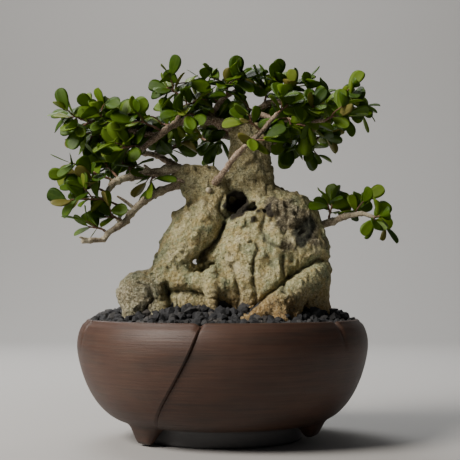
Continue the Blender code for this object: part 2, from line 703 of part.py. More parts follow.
def leaf_pose(chance, along, outward, turn, number):
    """(axis, face) of a leaf: it leans away from its twig, and its face looks up and out of the crown."""
    across = along.orthogonal().normalized()
    across.rotate(Matrix.Rotation(turn, 3, along))
    spread = 0.15 if number == 0 else chance.uniform(0.7, 1.3)
    axis = (along * 0.7 + across * spread + Vector((0.0, 0.0, 0.15))).normalized()
    face = Vector((0.0, 0.0, 1.0)) + outward * 0.5
    face += Vector([chance.uniform(-0.5, 0.5) for _ in range(3)])
    return axis, face.normalized()


def place_leaves(points, count, chance, taken):
    """(base, axis, face, length) of each leaf of a twig, turned until it clears what is there already."""
    crown = on_tree(CROWN_MIDDLE)
    lengths = [(b - a).length for a, b in zip(points, points[1:])]
    total = sum(lengths)
    leaves = []
    for number in range(count):
        left = total - number * LEAF_SPACING * tree_scale() * chance.uniform(0.9, 1.1)
        if left < 0.1 * total:
            break
        place = 0
        while place < len(lengths) - 1 and left > lengths[place]:
            left -= lengths[place]
            place += 1
        base = points[place].lerp(points[place + 1], min(left / lengths[place], 0.98))
        along = (points[place + 1] - points[place]).normalized()
        length = LEAF_LENGTH * tree_scale() * chance.uniform(0.75, 1.08)
        first = chance.uniform(0.0, 360.0)
        for attempt in range(LEAF_TRIES):
            turn = math.radians(first + number * 137.5 + attempt * 51.0)
            axis, face = leaf_pose(chance, along, (base - crown).normalized(), turn, number)
            if abs(axis.dot(face)) > 0.9:
                continue
            bvh = leaf_bvh(base, axis, face, length)
            if clear_of(bvh, taken):
                taken.append(bvh)
                leaves.append((base, axis, face, length))
                break
    return leaves


def make_shoot(name, points, leaves, collection, helpers, material):
    """A twig with its leaves, all one piece."""
    twig = TWIG_RADIUS * tree_scale()
    radii = [twig * (1.0 - 0.1 * i) for i in range(len(points))]
    stock = tube(name, points, radii, helpers, resolution=1)
    mesh = baked_mesh(stock, name)
    bpy.data.objects.remove(stock)
    piece = add_object(name, mesh, collection, material)
    build = bmesh.new()
    for base, axis, face, length in leaves:
        leaf_mesh(build, base, axis, face, length, LEAF_THICKNESS)
    bmesh.ops.recalc_face_normals(build, faces=build.faces)
    foliage = bpy.data.meshes.new(f"{name} leaves")
    build.to_mesh(foliage)
    build.free()
    boolean(piece, add_helper(f"{name} leaves", foliage, helpers), "UNION").use_self = True
    return piece


def bvh_of(obj):
    mesh = baked_mesh(obj, "touch")
    bvh = BVHTree.FromPolygons([v.co for v in mesh.vertices], [tuple(p.vertices) for p in mesh.polygons])
    bpy.data.meshes.remove(mesh)
    return bvh


def main():
    clear_scene()
    parts = make_collection("bonsai")
    helpers = make_collection("helpers", hidden=True)

    stoneware = make_material("unglazed brown stoneware", (0.075, 0.042, 0.03), 0.75)
    plastic = make_material("black net plastic", (0.02, 0.02, 0.02), 0.5)
    wire = make_material("brown aluminium wire", (0.1, 0.05, 0.03), 0.4)
    grit = make_material("black lava grit", (0.03, 0.03, 0.035), 0.95)
    bark = make_material("grey green bark", (0.34, 0.3, 0.17), 0.9)
    branch_bark = make_material("brown branch bark", (0.22, 0.16, 0.1), 0.85)
    leaf = make_material("green leaf", (0.06, 0.16, 0.02), 0.45)

    make_pot(parts, helpers, stoneware)
    make_net(parts, helpers, plastic)
    make_clip(parts, wire)
    hole = plug("root hole", PLUG_RADIUS + FIT_GAP, 14.0 * MM + FIT_GAP, helpers)
    hole.location.z -= FIT_GAP
    make_soil("soil", parts, grit, FIT_GAP, 0.0, hole)
    cover = make_soil("soil cover", helpers, None, FIT_GAP, FIT_GAP, None)
    cover.hide_render = True
    trunk, skin = make_trunk(parts, helpers, bark, cover)

    made = {}
    swollen_trunk = swollen_copy(skin, "grown trunk", helpers)
    for name, route in BRANCHES.items():
        carriers = [swollen_trunk]
        carriers += [swollen_copy(other, f"{other.name} for {name}", helpers) for other in made.values()]
        made[name] = make_branch(name, route, carriers, parts, branch_bark)

    taken = [bvh_of(trunk)] + [bvh_of(branch) for branch in made.values()]
    twigs = [place_twig(shoot, taken) for shoot in SHOOTS]
    for number, (shoot, (points, own)) in enumerate(zip(SHOOTS, twigs), start=1):
        others = [bvh for bvh in taken if bvh is not own]
        leaves = place_leaves(points, shoot[3], random.Random(number), others)
        taken += others[len(taken) - 1:]
        make_shoot(f"shoot_{number:02d}", points, leaves, parts, helpers, leaf)


main()
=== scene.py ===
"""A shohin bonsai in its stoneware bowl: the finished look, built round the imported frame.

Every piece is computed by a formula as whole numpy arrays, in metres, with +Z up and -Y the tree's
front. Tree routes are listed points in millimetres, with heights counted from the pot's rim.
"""

import math

import bpy
import numpy as np
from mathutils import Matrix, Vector


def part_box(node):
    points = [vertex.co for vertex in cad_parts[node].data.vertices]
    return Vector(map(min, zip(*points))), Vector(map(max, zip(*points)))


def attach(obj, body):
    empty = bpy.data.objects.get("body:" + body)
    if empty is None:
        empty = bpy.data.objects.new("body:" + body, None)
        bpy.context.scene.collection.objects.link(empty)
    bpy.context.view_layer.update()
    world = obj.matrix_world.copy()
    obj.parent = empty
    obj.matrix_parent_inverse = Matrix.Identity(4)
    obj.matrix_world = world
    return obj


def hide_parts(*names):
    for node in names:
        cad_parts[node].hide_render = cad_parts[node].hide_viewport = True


bl_info = {
    "name": "Potted bonsai",
    "version": (1, 0, 0),
    "blender": (4, 5, 0),
    "location": "View3D > Sidebar > Bonsai",
    "description": "Builds a small bonsai with a swollen trunk in a hand-built stoneware bowl",
    "category": "Add Mesh",
}

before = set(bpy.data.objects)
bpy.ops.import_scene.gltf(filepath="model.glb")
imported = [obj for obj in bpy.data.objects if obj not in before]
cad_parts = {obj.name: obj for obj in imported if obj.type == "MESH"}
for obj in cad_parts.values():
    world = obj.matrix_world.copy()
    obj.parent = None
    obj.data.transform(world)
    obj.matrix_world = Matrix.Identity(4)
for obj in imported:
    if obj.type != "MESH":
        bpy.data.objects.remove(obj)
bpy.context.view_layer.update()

MM = 0.001
COLLECTION = "Bonsai"

# The bowl. Its height comes from the frame.
LIP_RISE = 0.3 * MM  # the lip's crest above the rim's nominal height
POT_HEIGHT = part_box("pot")[1].z - LIP_RISE
POT_RADIUS = 75.0 * MM
BELLY_HEIGHT = 47.6 * MM
RIM_INSET = 4.3 * MM  # how far the rim leans in from the belly
LIP_RADIUS = 1.6 * MM
WALL = 5.0 * MM
FLOOR = 5.0 * MM
FOOT_RADIUS = 41.5 * MM
FOOT_WIDTH = 5.0 * MM
FOOT_HEIGHT = 5.0 * MM
RING_TOP = 8.5 * MM  # where the outer wall meets the foot ring
DRAIN_RADIUS = 7.0 * MM
WALL_ROWS = 96
PANEL_COLUMNS = 160

# Its three panels: angles are in degrees.
SEAM_ANGLES = (-98.0, 22.0, 142.0)  # where each panel's edge meets the rim
SEAM_GAP = 0.12  # between a seam and the first column beside it
SEAM_SWEEP = 37.0  # how far a seam runs round the bowl on its way down
SEAM_BOW = 8.0  # how strongly it bows out near the foot
EDGE_RISE = 0.9 * MM  # how far a panel's edge stands proud of the next panel
EDGE_SLACK = 0.35 * MM  # how far the next panel is pressed in beyond the groove
EDGE_SPREAD = 14.0  # over how far a panel rises to its edge
GROOVE_WIDTH = 0.6
SLACK_SPREAD = 9.0  # over how far the next panel comes out again
PINCH_LENGTH = 18.0 * MM  # crease in the rim, half way between two seams
PINCH_DEPTH = 1.3 * MM
PINCH_WIDTH = 1.1
PINCH_DIP = 1.6 * MM  # how far the rim dips at a pinch
SEAM_DIP = 1.3 * MM  # and at a seam
SEAM_DIP_WIDTH = 1.3
DIP_LENGTH = 5.0 * MM
CORNER_FOOT_LIFTS = (3.0 * MM, 1.4 * MM, 0.7 * MM)  # gap under each panel's drawn-down foot
CORNER_FOOT_SPAN = (1.0, 11.0, 20.0, 27.0)  # where it ends, is full and starts, back from the panel's edge
CORNER_FOOT_MIDDLE = 48.2 * MM  # how far out it stands
CORNER_FOOT_REACH = 4.3 * MM  # how thick it is, each way from there
HAND_WOBBLE = 0.3 * MM  # how uneven the hand-built wall is
SMOKED_WIDTH = 3.0 * MM  # how far the smoked foot fades up the wall
SMOKED_SHARE = 0.85

# The heap of grit. Its middle and radius are in mm.
SOIL_EDGE_DROP = 1.5 * MM
MOUND_HEIGHT = 9.0 * MM
MOUND_CENTRE = (0.0, 8.0)
MOUND_STRETCH = 1.25
MOUND_RADIUS = 56.0
BED_DEPTH = 0.9 * MM  # how far the bed lies under the mound's height

# Masses of the trunk: blend width, depth of ring wrinkles, and beads of (x, y, z, radius), all in mm.
MASSES = (
    (5, 0.0, ((-5, 0, 63, 12), (-6, -2, 56, 11), (-12, -6, 47, 13.5), (-18, -9, 38, 12), (-24, -12, 28, 10),
              (-30, -14, 20, 8))),
    (3, 0.0, ((-41, -15, 13, 12), (-40, -14, 11, 12))),
    (3, 0.3, ((-38, -14, 17, 8), (-29, -14, 20, 7))),
    (2, 0.2, ((-46, -22, 4, 4.2), (-45, -23, -1, 4))),
    (2, 0.2, ((-32, -21, 6, 5.2), (-31, -23, 0, 5))),
    (5, 0.0, ((-5, 0, 62, 11), (-8, 0, 69, 9), (-15, -1, 73, 6.5), (-22, -3, 74, 4.5))),
    (5, 0.0, ((17, 0, 57, 14), (15, 2, 68, 11.5), (15, 2, 78, 10), (14, 2, 90, 9), (12, 3, 97, 6.5),
              (8, 4, 103, 4.5))),
    (5, 0.0, ((24, -2, 50, 16), (34, -1, 48, 17), (38, -2, 34, 16.5), (38, -3, 20, 15), (38, -3, 4, 15))),
    (2, 0.0, ((12, -8, 50, 8), (10, -14, 36, 9), (11, -17, 20, 9), (13, -18, 4, 8))),
    (3, 0.0, ((17, -9, 48, 10), (18, -15, 32, 10), (18, -17, 14, 9), (19, -17, 2, 9))),
    (3, 0.0, ((5, -9, 44, 8), (4.5, -12, 32, 8.5), (5, -12, 20, 8))),
    (2, 0.0, ((24, -9, 52, 9), (26, -14, 36, 10), (25, -18, 20, 9), (25, -20, 4, 8))),
    (2, 0.0, ((-1, -5, 43, 8), (-2, -6, 32, 9), (0, -6, 20, 9))),
    (5, 0.0, ((14, 8, 48, 18), (14, 10, 30, 22), (14, 8, 8, 22))),
    (2, 0.3, ((-31, -17, 21, 5), (-21, -20, 20.5, 4.5), (-11, -22, 19, 4.2), (0, -22, 18, 5),
              (9, -20, 17, 6))),
    (1.5, 0.2, ((-31, -13, 8.5, 7), (-18, -15, 9, 7), (-7, -15, 8.5, 7), (4, -12, 8, 8))),
    (1.5, 0.2, ((-34, -4, 13, 8), (-24, -2, 13, 9), (-10, -1, 13, 9))),
    (1.5, 0.6, ((-5, -23, 24, 3.2), (-5.5, -26, 16, 3.5), (-5, -29, 3, 2.8))),
    (1.5, 0.3, ((-1, -21, 12.5, 4.2), (8, -20, 12.5, 4.5))),
    (1.5, 1.1, ((50, -10, 25, 6.5), (44, -18, 20.5, 6.5), (36, -26, 15, 6.5), (27, -32, 9, 6.3),
                (18, -36, 3.5, 5.2), (11, -40, -1, 3.4))),
    (2, 0.4, ((27, -33, 7, 5), (29, -38, 0, 4))),
    (1.5, 0.4, ((37, -22, 11, 5), (34, -30, 2, 4.5))),
    (1.5, 0.4, ((49, -7, 14, 6), (49, -11, 4, 5.2), (51, -14, -3, 4))),
    (2, 0.3, ((50, -3, 20, 6), (49, -2, 10, 6), (53, -4, -2, 5))),
    (2, 0.3, ((-4, 14, 24, 8), (-14, 22, 14, 6.5), (-24, 30, 4, 4.5))),
    (2, 0.3, ((30, 16, 24, 9), (38, 25, 12, 6.5), (44, 32, 2, 4.5))),
    (2, 0.3, ((10, 22, 26, 9), (8, 32, 12, 6), (6, 38, 3, 4))),
)

# Hollows of the trunk, as beads too.
HOLLOWS = (
    ((4.5, -22, 59, 4.2), (7, -6, 59, 5), (9, 3, 60, 4)),
    ((9, -22, 62, 4), (9, -8, 62, 4)),
    ((9, -22, 56.0, 2.8), (16, -22, 55.5, 3.2), (23, -22, 56, 2.4)),
    ((9, -12, 57, 3.4), (16, -12, 56, 3.6), (22, -14, 56, 2.4)),
    ((-14, -30, 29.0, 1.9), (-14, 6, 29.0, 2.0)),
    ((-8, -26, 30, 3.6), (-9, -10, 30, 2.8)),
)

# Folds in the front of the trunk: width and depth in mm, and points (x, z).
FOLDS = (
    (1.5, 3.6, ((1, 49), (-2, 42.5), (-8, 35.5), (-13, 30.5))),
    (1.2, 3.0, ((-28.5, 18), (-27, 13), (-25.5, 8), (-26, 2))),
    (0.9, 1.3, ((-41.5, 19), (-36.5, 16.5), (-35, 11), (-37.5, 6))),
    (1.2, 1.6, ((4.5, 27), (7, 22), (8, 16), (8, 6))),
    (1.2, 1.8, ((18, 38), (16, 30), (16, 20), (17, 8))),
    (1.2, 2.0, ((30, 32), (31.5, 23), (30.5, 14))),
    (1.6, 1.6, ((21.5, 54), (20, 46), (22, 40), (29, 36))),
    (1.3, 1.8, ((0, 64), (-2, 58), (2, 52))),
    (1.3, 2.2, ((50, 31), (44, 28.5), (36, 23.5), (28, 17.5), (20, 11), (13, 5))),
)

# Rough scar on the right flank, as (x, y, z, radius) in mm, and the dark moss on it.
SCARS = ((34, -18, 54, 10), (42, -14, 47, 9), (27, -18, 59, 6), (48, -12, 40, 6), (33, -19, 36, 5))
MOSS = (42, 45)  # mm, (x, z) of its middle
MOSS_SIZE = (4.5, 7.0)

# Branches: beads of (x, y, z, radius), each starting inside what carries it.
BRANCHES = {
    "branch_low_left": (
        (-18, -2, 73, 2.6), (-25, -5, 69.5, 2.2), (-37, -12, 63, 1.9), (-46, -20, 54, 1.7),
        (-49, -24, 49, 1.6), (-56, -30, 44, 1.4), (-59, -34, 40, 1.3), (-68, -40, 39, 1.1),
    ),
    "branch_upper_left": (
        (-19, -2, 76, 2.8), (-26, -5, 78, 2.4), (-36, -8, 76, 2.2), (-43, -12, 74, 2.1),
        (-50, -14, 72, 1.9), (-55, -16, 70, 1.7), (-57, -18, 67, 1.4), (-59, -20, 63, 1.2),
    ),
    "dead_twig": ((-20, -7, 71.5, 1.0), (-27, -9, 73, 0.9), (-40, -14, 74.5, 0.6)),
    "branch_crown_left": (
        (9, 4, 100, 3.0), (-4, 2, 104, 2.4), (-14, -2, 104, 2.1), (-24, -6, 102, 1.8),
        (-32, -12, 95, 1.6), (-43, -18, 86, 1.4),
    ),
    "leader_left": ((-24, -6, 102, 1.2), (-22, -6, 110, 1.1), (-21, -6, 117, 1.0), (-18, -6, 123, 0.8)),
    "leader_middle": (
        (3, 4, 103, 2.0), (-5, 6, 107, 1.6), (-1, 6, 115, 1.3), (4, 6, 119, 1.1), (10, 5, 124, 0.9),
    ),
    "branch_front": (
        (-6, -5, 69, 2.2), (-2, -13, 72, 1.7), (4, -18, 80, 1.5), (11, -22, 87, 1.4),
        (18, -24, 93, 1.2), (23, -24, 99, 1.1), (28, -24, 104, 1.0),
    ),
    "branch_right": (
        (12, 3, 97, 3.0), (17, 4, 108, 1.9), (24, 4, 114, 1.6), (33, 4, 114, 1.4), (38, 4, 112, 1.3),
        (47, 4, 113, 1.2), (57, 4, 115, 1.0), (66, 4, 115, 0.8),
    ),
    "branch_low_right": (
        (44, 0, 45, 3.2), (49, -1, 48, 2.4), (54, -4, 50, 1.9), (59, -6, 51.5, 1.7), (64, -8, 53, 1.5),
        (71, -12, 54, 1.2), (77, -14, 52, 1.0),
    ),
    "branch_left_top": ((-32, -12, 95, 1.3), (-46, -9, 97, 1.2), (-60, -8, 101, 1.0), (-74, -6, 104, 0.8)),
    "branch_left_back": (
        (-18, 0, 76, 2.4), (-26, 8, 82, 1.8), (-38, 16, 88, 1.5), (-50, 22, 90, 1.2), (-62, 25, 90, 1.0),
    ),
    "branch_back": ((12, 5, 92, 3.0), (6, 18, 98, 1.9), (-2, 32, 100, 1.5), (-10, 46, 99, 1.1)),
    "branch_back_right": ((15, 5, 88, 2.6), (28, 16, 96, 1.8), (40, 27, 99, 1.4), (52, 36, 98, 1.0)),
    "branch_right_front": ((17, 4, 108, 1.6), (30, -4, 104, 1.3), (42, -12, 102, 1.1), (52, -18, 101, 0.9)),
}

# Branches that are crusted with pale lichen.
LICHENED = ("branch_low_left", "branch_upper_left", "branch_low_right")

# Leafy shoots, by the branch that carries them: (share of the way along it, x, y and z of the tip,
# share of the usual number of leaves).
SHOOTS = (
    ("branch_low_left", (0.52, -81, -32, 60, 1.3), (0.62, -63, -24, 53, 0.8), (0.78, -70, -30, 48, 0.6)),
    ("branch_upper_left", (0.55, -60, -8, 84, 1), (0.8, -82, -20, 74, 1.2), (0.97, -74, -26, 68, 1),
     (0.35, -38, -18, 64, 0.5)),
    ("branch_crown_left", (0.95, -58, -22, 84, 1), (0.72, -50, -24, 100, 1), (0.45, -18, -22, 104, 0.6)),
    ("branch_left_top", (0.98, -84, -6, 105, 1), (0.66, -66, -16, 109, 1), (0.4, -54, -18, 104, 1),
     (0.82, -78, -14, 95, 1)),
    ("leader_left", (0.98, -18, -8, 126, 0.7), (0.6, -32, -10, 122, 0.8), (0.35, -10, -14, 112, 0.8)),
    ("leader_middle", (0.98, 12, 2, 122, 1.2), (0.7, 2, -6, 126, 1), (0.5, -12, 10, 122, 1)),
    ("branch_front", (0.98, 36, -26, 111, 1.2), (0.78, 8, -30, 102, 0.6), (0.6, 24, -34, 90, 0.35)),
    ("branch_right", (0.3, 24, 0, 126, 1.2), (0.42, 38, -4, 124, 1.2), (0.62, 54, 0, 118, 1.2),
     (0.98, 70, 0, 114, 1.2), (0.85, 74, -4, 108, 1)),
    ("branch_right_front", (0.98, 66, -20, 104, 1), (0.7, 48, -26, 110, 1), (0.45, 36, -22, 96, 0.8)),
    ("branch_low_right", (0.98, 80, -16, 47, 0.8), (0.72, 72, -4, 60, 1), (0.35, 58, -2, 64, 0.8)),
    ("branch_left_back", (0.98, -74, 28, 96, 1.2), (0.65, -52, 32, 102, 1.2)),
    ("branch_back", (0.98, -18, 56, 104, 1.2), (0.65, 6, 44, 110, 1.2), (0.4, -14, 26, 112, 1.2)),
    ("branch_back_right", (0.98, 62, 44, 104, 1.2), (0.6, 36, 38, 110, 1.2)),
)

# Inner shoots that fill the crown, in the same form.
INNER_SHOOTS = (
    ("branch_left_top", (0.55, -62, 12, 96, 0.8), (0.3, -49, 14, 97, 0.7), (0.25, -57, 10, 87, 0.8),
     (0.75, -73, 8, 89, 0.9)),
    ("branch_crown_left", (0.85, -42, 9, 93, 0.9)),
    ("branch_upper_left", (0.6, -53, 9, 80, 0.8), (0.75, -67, 4, 81, 0.9)),
    ("branch_crown_left", (0.62, -38, 0, 102, 0.9)),
    ("branch_left_top", (0.35, -49, 4, 109, 0.9), (0.6, -61, 2, 109, 0.9)),
    ("branch_crown_left", (0.6, -31, 10, 98, 1), (0.45, -22, 9, 110, 0.9), (0.25, -12, 10, 112, 1)),
    ("branch_left_back", (0.45, -20, 20, 94, 1)),
    ("branch_back", (0.35, -5, 16, 105, 1)),
    ("branch_right", (0.22, 9, 8, 112, 0.9)),
    ("branch_right_front", (0.3, 16, 10, 98, 0.9), (0.55, 33, 7, 96, 0.9), (0.8, 42, 5, 97, 1)),
    ("branch_right", (0.35, 26, 8, 107, 0.9), (0.55, 37, 6, 105, 0.9)),
    ("branch_right_front", (0.85, 47, 9, 110, 0.9)),
    ("branch_back_right", (0.55, 38, 22, 91, 1), (0.75, 45, 18, 86, 0.9), (0.4, 27, 14, 104, 1)),
    ("branch_right", (0.8, 57, 12, 109, 0.9)),
    ("branch_back", (0.6, -6, 30, 92, 1)),
    ("branch_back_right", (0.7, 50, 30, 108, 1)),
    ("branch_left_back", (0.75, -58, 18, 84, 1), (0.5, -34, 26, 98, 1)),
)

# Bare twigs and stubs: beads of (x, y, z, radius).
STUBS = (
    ((-44, -18, 56, 1.0), (-49, -20, 60, 0.8), (-53, -21, 62.5, 0.5)),
    ((-50, -25, 48, 0.8), (-53, -24, 50.5, 0.5)),
    ((-64, -37, 39.5, 0.9), (-69, -41, 41, 0.5)),
    ((44, 4, 112.5, 1.1), (60, 2, 112.5, 0.8), (76, 0, 109.5, 0.4)),
    ((-7, -6, 66, 2.4), (-7, -13, 66.5, 1.5)),
    ((-36, -9, 76, 1.0), (-40, -13, 79, 0.7)),
)

ROOT_DEPTH = 10.0 * MM  # how deep the trunk goes into the grit
SKIN_REACH = 6.0 * MM  # how far from the trunk's surface distances are worked out
WRINKLE_SPACING = 2.6 * MM
HOLLOW_BLEND = 2.0 * MM
HOLLOW_ROUGHNESS = 1.5 * MM
BARK_STEP = 0.7 * MM  # between two stations of a branch
TIP_LEAF_REACH = 4.0 * MM  # how far the last leaf carries on past a twig's end
TWIG_RADII = (0.62 * MM, 0.42 * MM, 0.42 * MM)  # the main twig and its two side twigs
ENDS_OUT = (0.25, 0.5, 0.6)  # the rounded end of a limb: how far out its rings lie, in radii
ENDS_WIDTH = (0.85, 0.45, 0.02)  # and how wide they are
KNOT_SPACING = 7.5 * MM
KNOT_SWELL = 0.28  # share of a branch's radius
BARK_RELIEF = 0.18  # share of a branch's radius
GOLDEN_ANGLE = math.radians(137.5)  # between two leaves that follow each other round a twig

# A leaf, in shares of its length.
LEAF_HALF_WIDTH = 0.45
LEAF_STALK = 0.02  # half the stalk's width
LEAF_FOLD = 0.14  # how steeply each half rises from the midrib
LEAF_CURL = 0.13  # how far the tip bends down
LEAF_RIB = 0.03  # how far the midrib stands out below

# The camera: its lens and film width in mm, and its tilt upwards in degrees.
CAMERA_LENS = 84.8
CAMERA_FILM = 36.0
CAMERA_PLACE = (3.9 * MM, -566.0 * MM, 79.3 * MM)
CAMERA_TILT = 2.85


# --- arrays ------------------------------------------------------------------------------------


def on_tree(points):
    """Tree points in mm above the rim, as metres in the frame."""
    return np.asarray(points, float)[..., :3] * MM + (0.0, 0.0, POT_HEIGHT)


def beads_of(route):
    """(points, radii) of a route of beads, in metres in the frame."""
    return on_tree(route), np.array(route, float)[:, 3] * MM


def unit(vectors):
    """Vectors scaled to length one."""
    return vectors / np.maximum(np.linalg.norm(vectors, axis=-1, keepdims=True), 1e-12)


def hashed(cells, seed):
    """A scattered number from 0 to 1 for each whole-number cell: the fraction of a large sine."""
    mixed = np.sin(cells @ np.array((127.1, 311.7, 74.7)) + seed * 53.37) * 43758.5453
    return mixed - np.floor(mixed)


def noise(points, size, seed):
    """Value noise from -1 to 1: hashed corners of a cubic lattice, blended smoothly between them.

    Size is the lattice's step in metres, and seed picks the pattern.
    """
    scaled = points / size
    low = np.floor(scaled)
    part = scaled - low
    part = part * part * (3.0 - 2.0 * part)
    total = np.zeros(len(points))
    for corner in np.ndindex(2, 2, 2):
        weight = np.where(np.array(corner) == 1, part, 1.0 - part).prod(axis=1)
        total += weight * hashed(low + corner, seed)
    return total * 2.0 - 1.0


def layered_noise(points, size, octaves, seed):
    """Noise at a size and its halves, each layer half as strong as the last."""
    total = np.zeros(len(points))
    for layer in range(octaves):
        total += noise(points, size / 2**layer, seed + layer) / 2**layer
    return total


def drift(points, size, seed):
    """Three noises at each point, as a vector."""
    return np.stack([noise(points, size, seed + k) for k in range(3)], axis=1)


def smooth_step(values, low, high):
    """0 below low, 1 above high, and an easy slope between."""
    share = np.clip((values - low) / (high - low), 0.0, 1.0)
    return share * share * (3.0 - 2.0 * share)


def resampled(points, radii, step):
    """A route as (points, radii) a step apart: a Catmull-Rom curve through its beads."""
    padded = np.vstack((2 * points[0] - points[1], points, 2 * points[-1] - points[-2]))
    spans = len(points) - 1
    length = np.linalg.norm(np.diff(points, axis=0), axis=1).sum()
    count = max(int(length / step), 2 * spans) + 1
    place = np.linspace(0.0, spans - 1e-9, count)
    index = place.astype(int)
    t = (place - index)[:, None]
    a, b, c, d = (padded[index + k] for k in range(4))
    bend, twist = 2 * a - 5 * b + 4 * c - d, 3 * b - a - 3 * c + d
    line = 0.5 * (2 * b + (c - a) * t + bend * t**2 + twist * t**3)
    return line, np.interp(place, np.arange(len(radii)), radii)


def grid_faces(rows, columns, wrap):
    """Quads of a grid of points stored row by row. With wrap, the last column joins the first."""
    start = np.arange(rows - 1)[:, None] * columns
    column = np.arange(columns if wrap else columns - 1)
    after = (column + 1) % columns
    quads = (start + column, start + after, start + columns + after, start + columns + column)
    return np.stack(quads, axis=-1).reshape(-1, 4)


def fan(ring, pole):
    """Triangles from a ring of vertices to a pole."""
    return np.stack((ring, np.roll(ring, -1), np.full(len(ring), pole)), axis=1)


def limb(points, radii, sides, relief=None):
    """A closed round bar along a line, as (points, face groups).

    It has a ring of sides points round each station, square to the line, and at both ends three
    smaller rings and a pole. A relief raises each point by a share of the bar's radius.
    """
    tangent = unit(np.gradient(points, axis=0))
    helper = np.where(np.abs(tangent[:, 2:]) < 0.9, (0.0, 0.0, 1.0), (0.0, 1.0, 0.0))
    side = unit(np.cross(tangent, helper))
    over = np.cross(side, tangent)
    turn = np.linspace(0.0, 2 * math.pi, sides, endpoint=False)
    out = side[:, None] * np.cos(turn)[:, None] + over[:, None] * np.sin(turn)[:, None]
    thick = np.repeat(radii[:, None], sides, axis=1)
    if relief is not None:
        thick = thick * (1.0 + relief(points[:, None] + out * radii[:, None, None]))
    rings = points[:, None] + out * thick[..., None]
    ends = [points[0] - tangent[0] * radii[0] * out_by for out_by in ENDS_OUT]
    starts = [end + (rings[0] - points[0]) * width for end, width in zip(ends, ENDS_WIDTH)]
    tips = [points[-1] + tangent[-1] * radii[-1] * out_by for out_by in ENDS_OUT]
    finishes = [tip + (rings[-1] - points[-1]) * width for tip, width in zip(tips, ENDS_WIDTH)]
    stack = np.concatenate((np.array(starts[::-1]), rings, np.array(finishes)))
    verts = stack.reshape(-1, 3)
    faces = grid_faces(len(stack), sides, wrap=True)
    poles = np.array((ends[-1], tips[-1]))
    first = np.arange(sides)
    last = first + (len(stack) - 1) * sides
    caps = [fan(first, len(verts))[:, ::-1], fan(last, len(verts) + 1)]
    return np.vstack((verts, poles)), [faces, *caps]


# --- meshes ------------------------------------------------------------------------------------


def made_mesh(name, verts, face_groups, materials, slots=None, values=None, smooth=True):
    """A mesh from arrays: points, groups of faces with a material slot for each, and values at the points."""
    mesh = bpy.data.meshes.new(name)
    loops = np.concatenate([group.reshape(-1) for group in face_groups])
    sizes = np.concatenate([np.full(len(group), group.shape[1]) for group in face_groups])
    mesh.vertices.add(len(verts))
    mesh.vertices.foreach_set("co", np.asarray(verts, np.float32).ravel())
    mesh.loops.add(len(loops))
    mesh.loops.foreach_set("vertex_index", loops.astype(np.int32))
    mesh.polygons.add(len(sizes))
    mesh.polygons.foreach_set("loop_start", (np.cumsum(sizes) - sizes).astype(np.int32))
    for material in materials:
        mesh.materials.append(material)
    if slots is not None:
        numbers = np.concatenate([np.full(len(group), slot) for group, slot in zip(face_groups, slots)])
        mesh.polygons.foreach_set("material_index", numbers.astype(np.int32))
    mesh.update(calc_edges=True)
    for key, numbers in (values or {}).items():
        attribute = mesh.attributes.new(key, "FLOAT", "POINT")
        attribute.data.foreach_set("value", np.asarray(numbers, np.float32))
    mesh.polygons.foreach_set("use_smooth", np.full(len(sizes), smooth))
    if mesh.validate():
        raise ValueError(f"{name} had faulty faces")
    return mesh


def add_piece(name, mesh, nodes=()):
    """Puts a finished mesh in the scene, riding on the root body and standing for its CAD nodes."""
    collection = bpy.data.collections.get(COLLECTION)
    if collection is None:
        collection = bpy.data.collections.new(COLLECTION)
        bpy.context.scene.collection.children.link(collection)
    piece = bpy.data.objects.new(name, mesh)
    collection.objects.link(piece)
    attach(piece, "root")
    if nodes:
        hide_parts(*nodes)
    return piece


# --- materials ---------------------------------------------------------------------------------


def linear(code):
    """A colour written as six sRGB hex digits, as linear RGB with alpha."""
    values = np.array([int(code[i:i + 2], 16) for i in (0, 2, 4)]) / 255.0
    low, high = values / 12.92, ((values + 0.055) / 1.055) ** 2.4
    return (*np.where(values <= 0.04045, low, high), 1.0)


def node(tree, kind, inputs, stops=(), out=None, **settings):
    """Adds a shader node with its properties and colour stops, and sets or links its inputs.

    It gives the output named by out, or else the node's first live output.
    """
    made = tree.nodes.new("ShaderNode" + kind)
    for key, value in settings.items():
        setattr(made, key, value)
    for key, value in inputs.items():
        if isinstance(value, bpy.types.NodeSocket):
            tree.links.new(value, made.inputs[key])
        else:
            made.inputs[key].default_value = value
    for _ in stops[2:]:
        made.color_ramp.elements.new(0.5)
    for place, (position, code) in enumerate(stops):
        element = made.color_ramp.elements[place]
        element.position = position
        element.color = linear(code)
    return made.outputs[out] if out else next(socket for socket in made.outputs if socket.enabled)


def grains(tree, size, detail=4.0, roughness=0.6, stretch=(1.0, 1.0, 1.0)):
    """A noise pattern on Object coordinates, in grains about size metres across before they are stretched."""
    place = node(tree, "TexCoord", {}, out="Object")
    place = node(tree, "Mapping", {"Vector": place, "Scale": stretch})
    inputs = {"Vector": place, "Scale": 1.0 / size, "Detail": detail, "Roughness": roughness}
    return node(tree, "TexNoise", inputs)


def painted(tree, pattern, stops, *layers):
    """A pattern's colours with layers over them: (mask, pattern, stops), or (mask, None, code) if plain."""
    colour = node(tree, "ValToRGB", {"Fac": pattern}, stops)
    for mask, pattern, stops in layers:
        over = linear(stops) if pattern is None else node(tree, "ValToRGB", {"Fac": pattern}, stops)
        colour = node(tree, "Mix", {"Factor": mask, "A": colour, "B": over}, data_type="RGBA")
    return colour


def new_material(name, roughness, colour=None, metallic=0.0, ior=1.5):
    """A material with its plain values set, as (material, its tree, its shader)."""
    material = bpy.data.materials.new(name)
    material.use_nodes = True
    shader = material.node_tree.nodes["Principled BSDF"]
    if colour:
        shader.inputs["Base Color"].default_value = colour
    shader.inputs["Roughness"].default_value = roughness
    shader.inputs["Metallic"].default_value = metallic
    shader.inputs["IOR"].default_value = ior
    return material, material.node_tree, shader


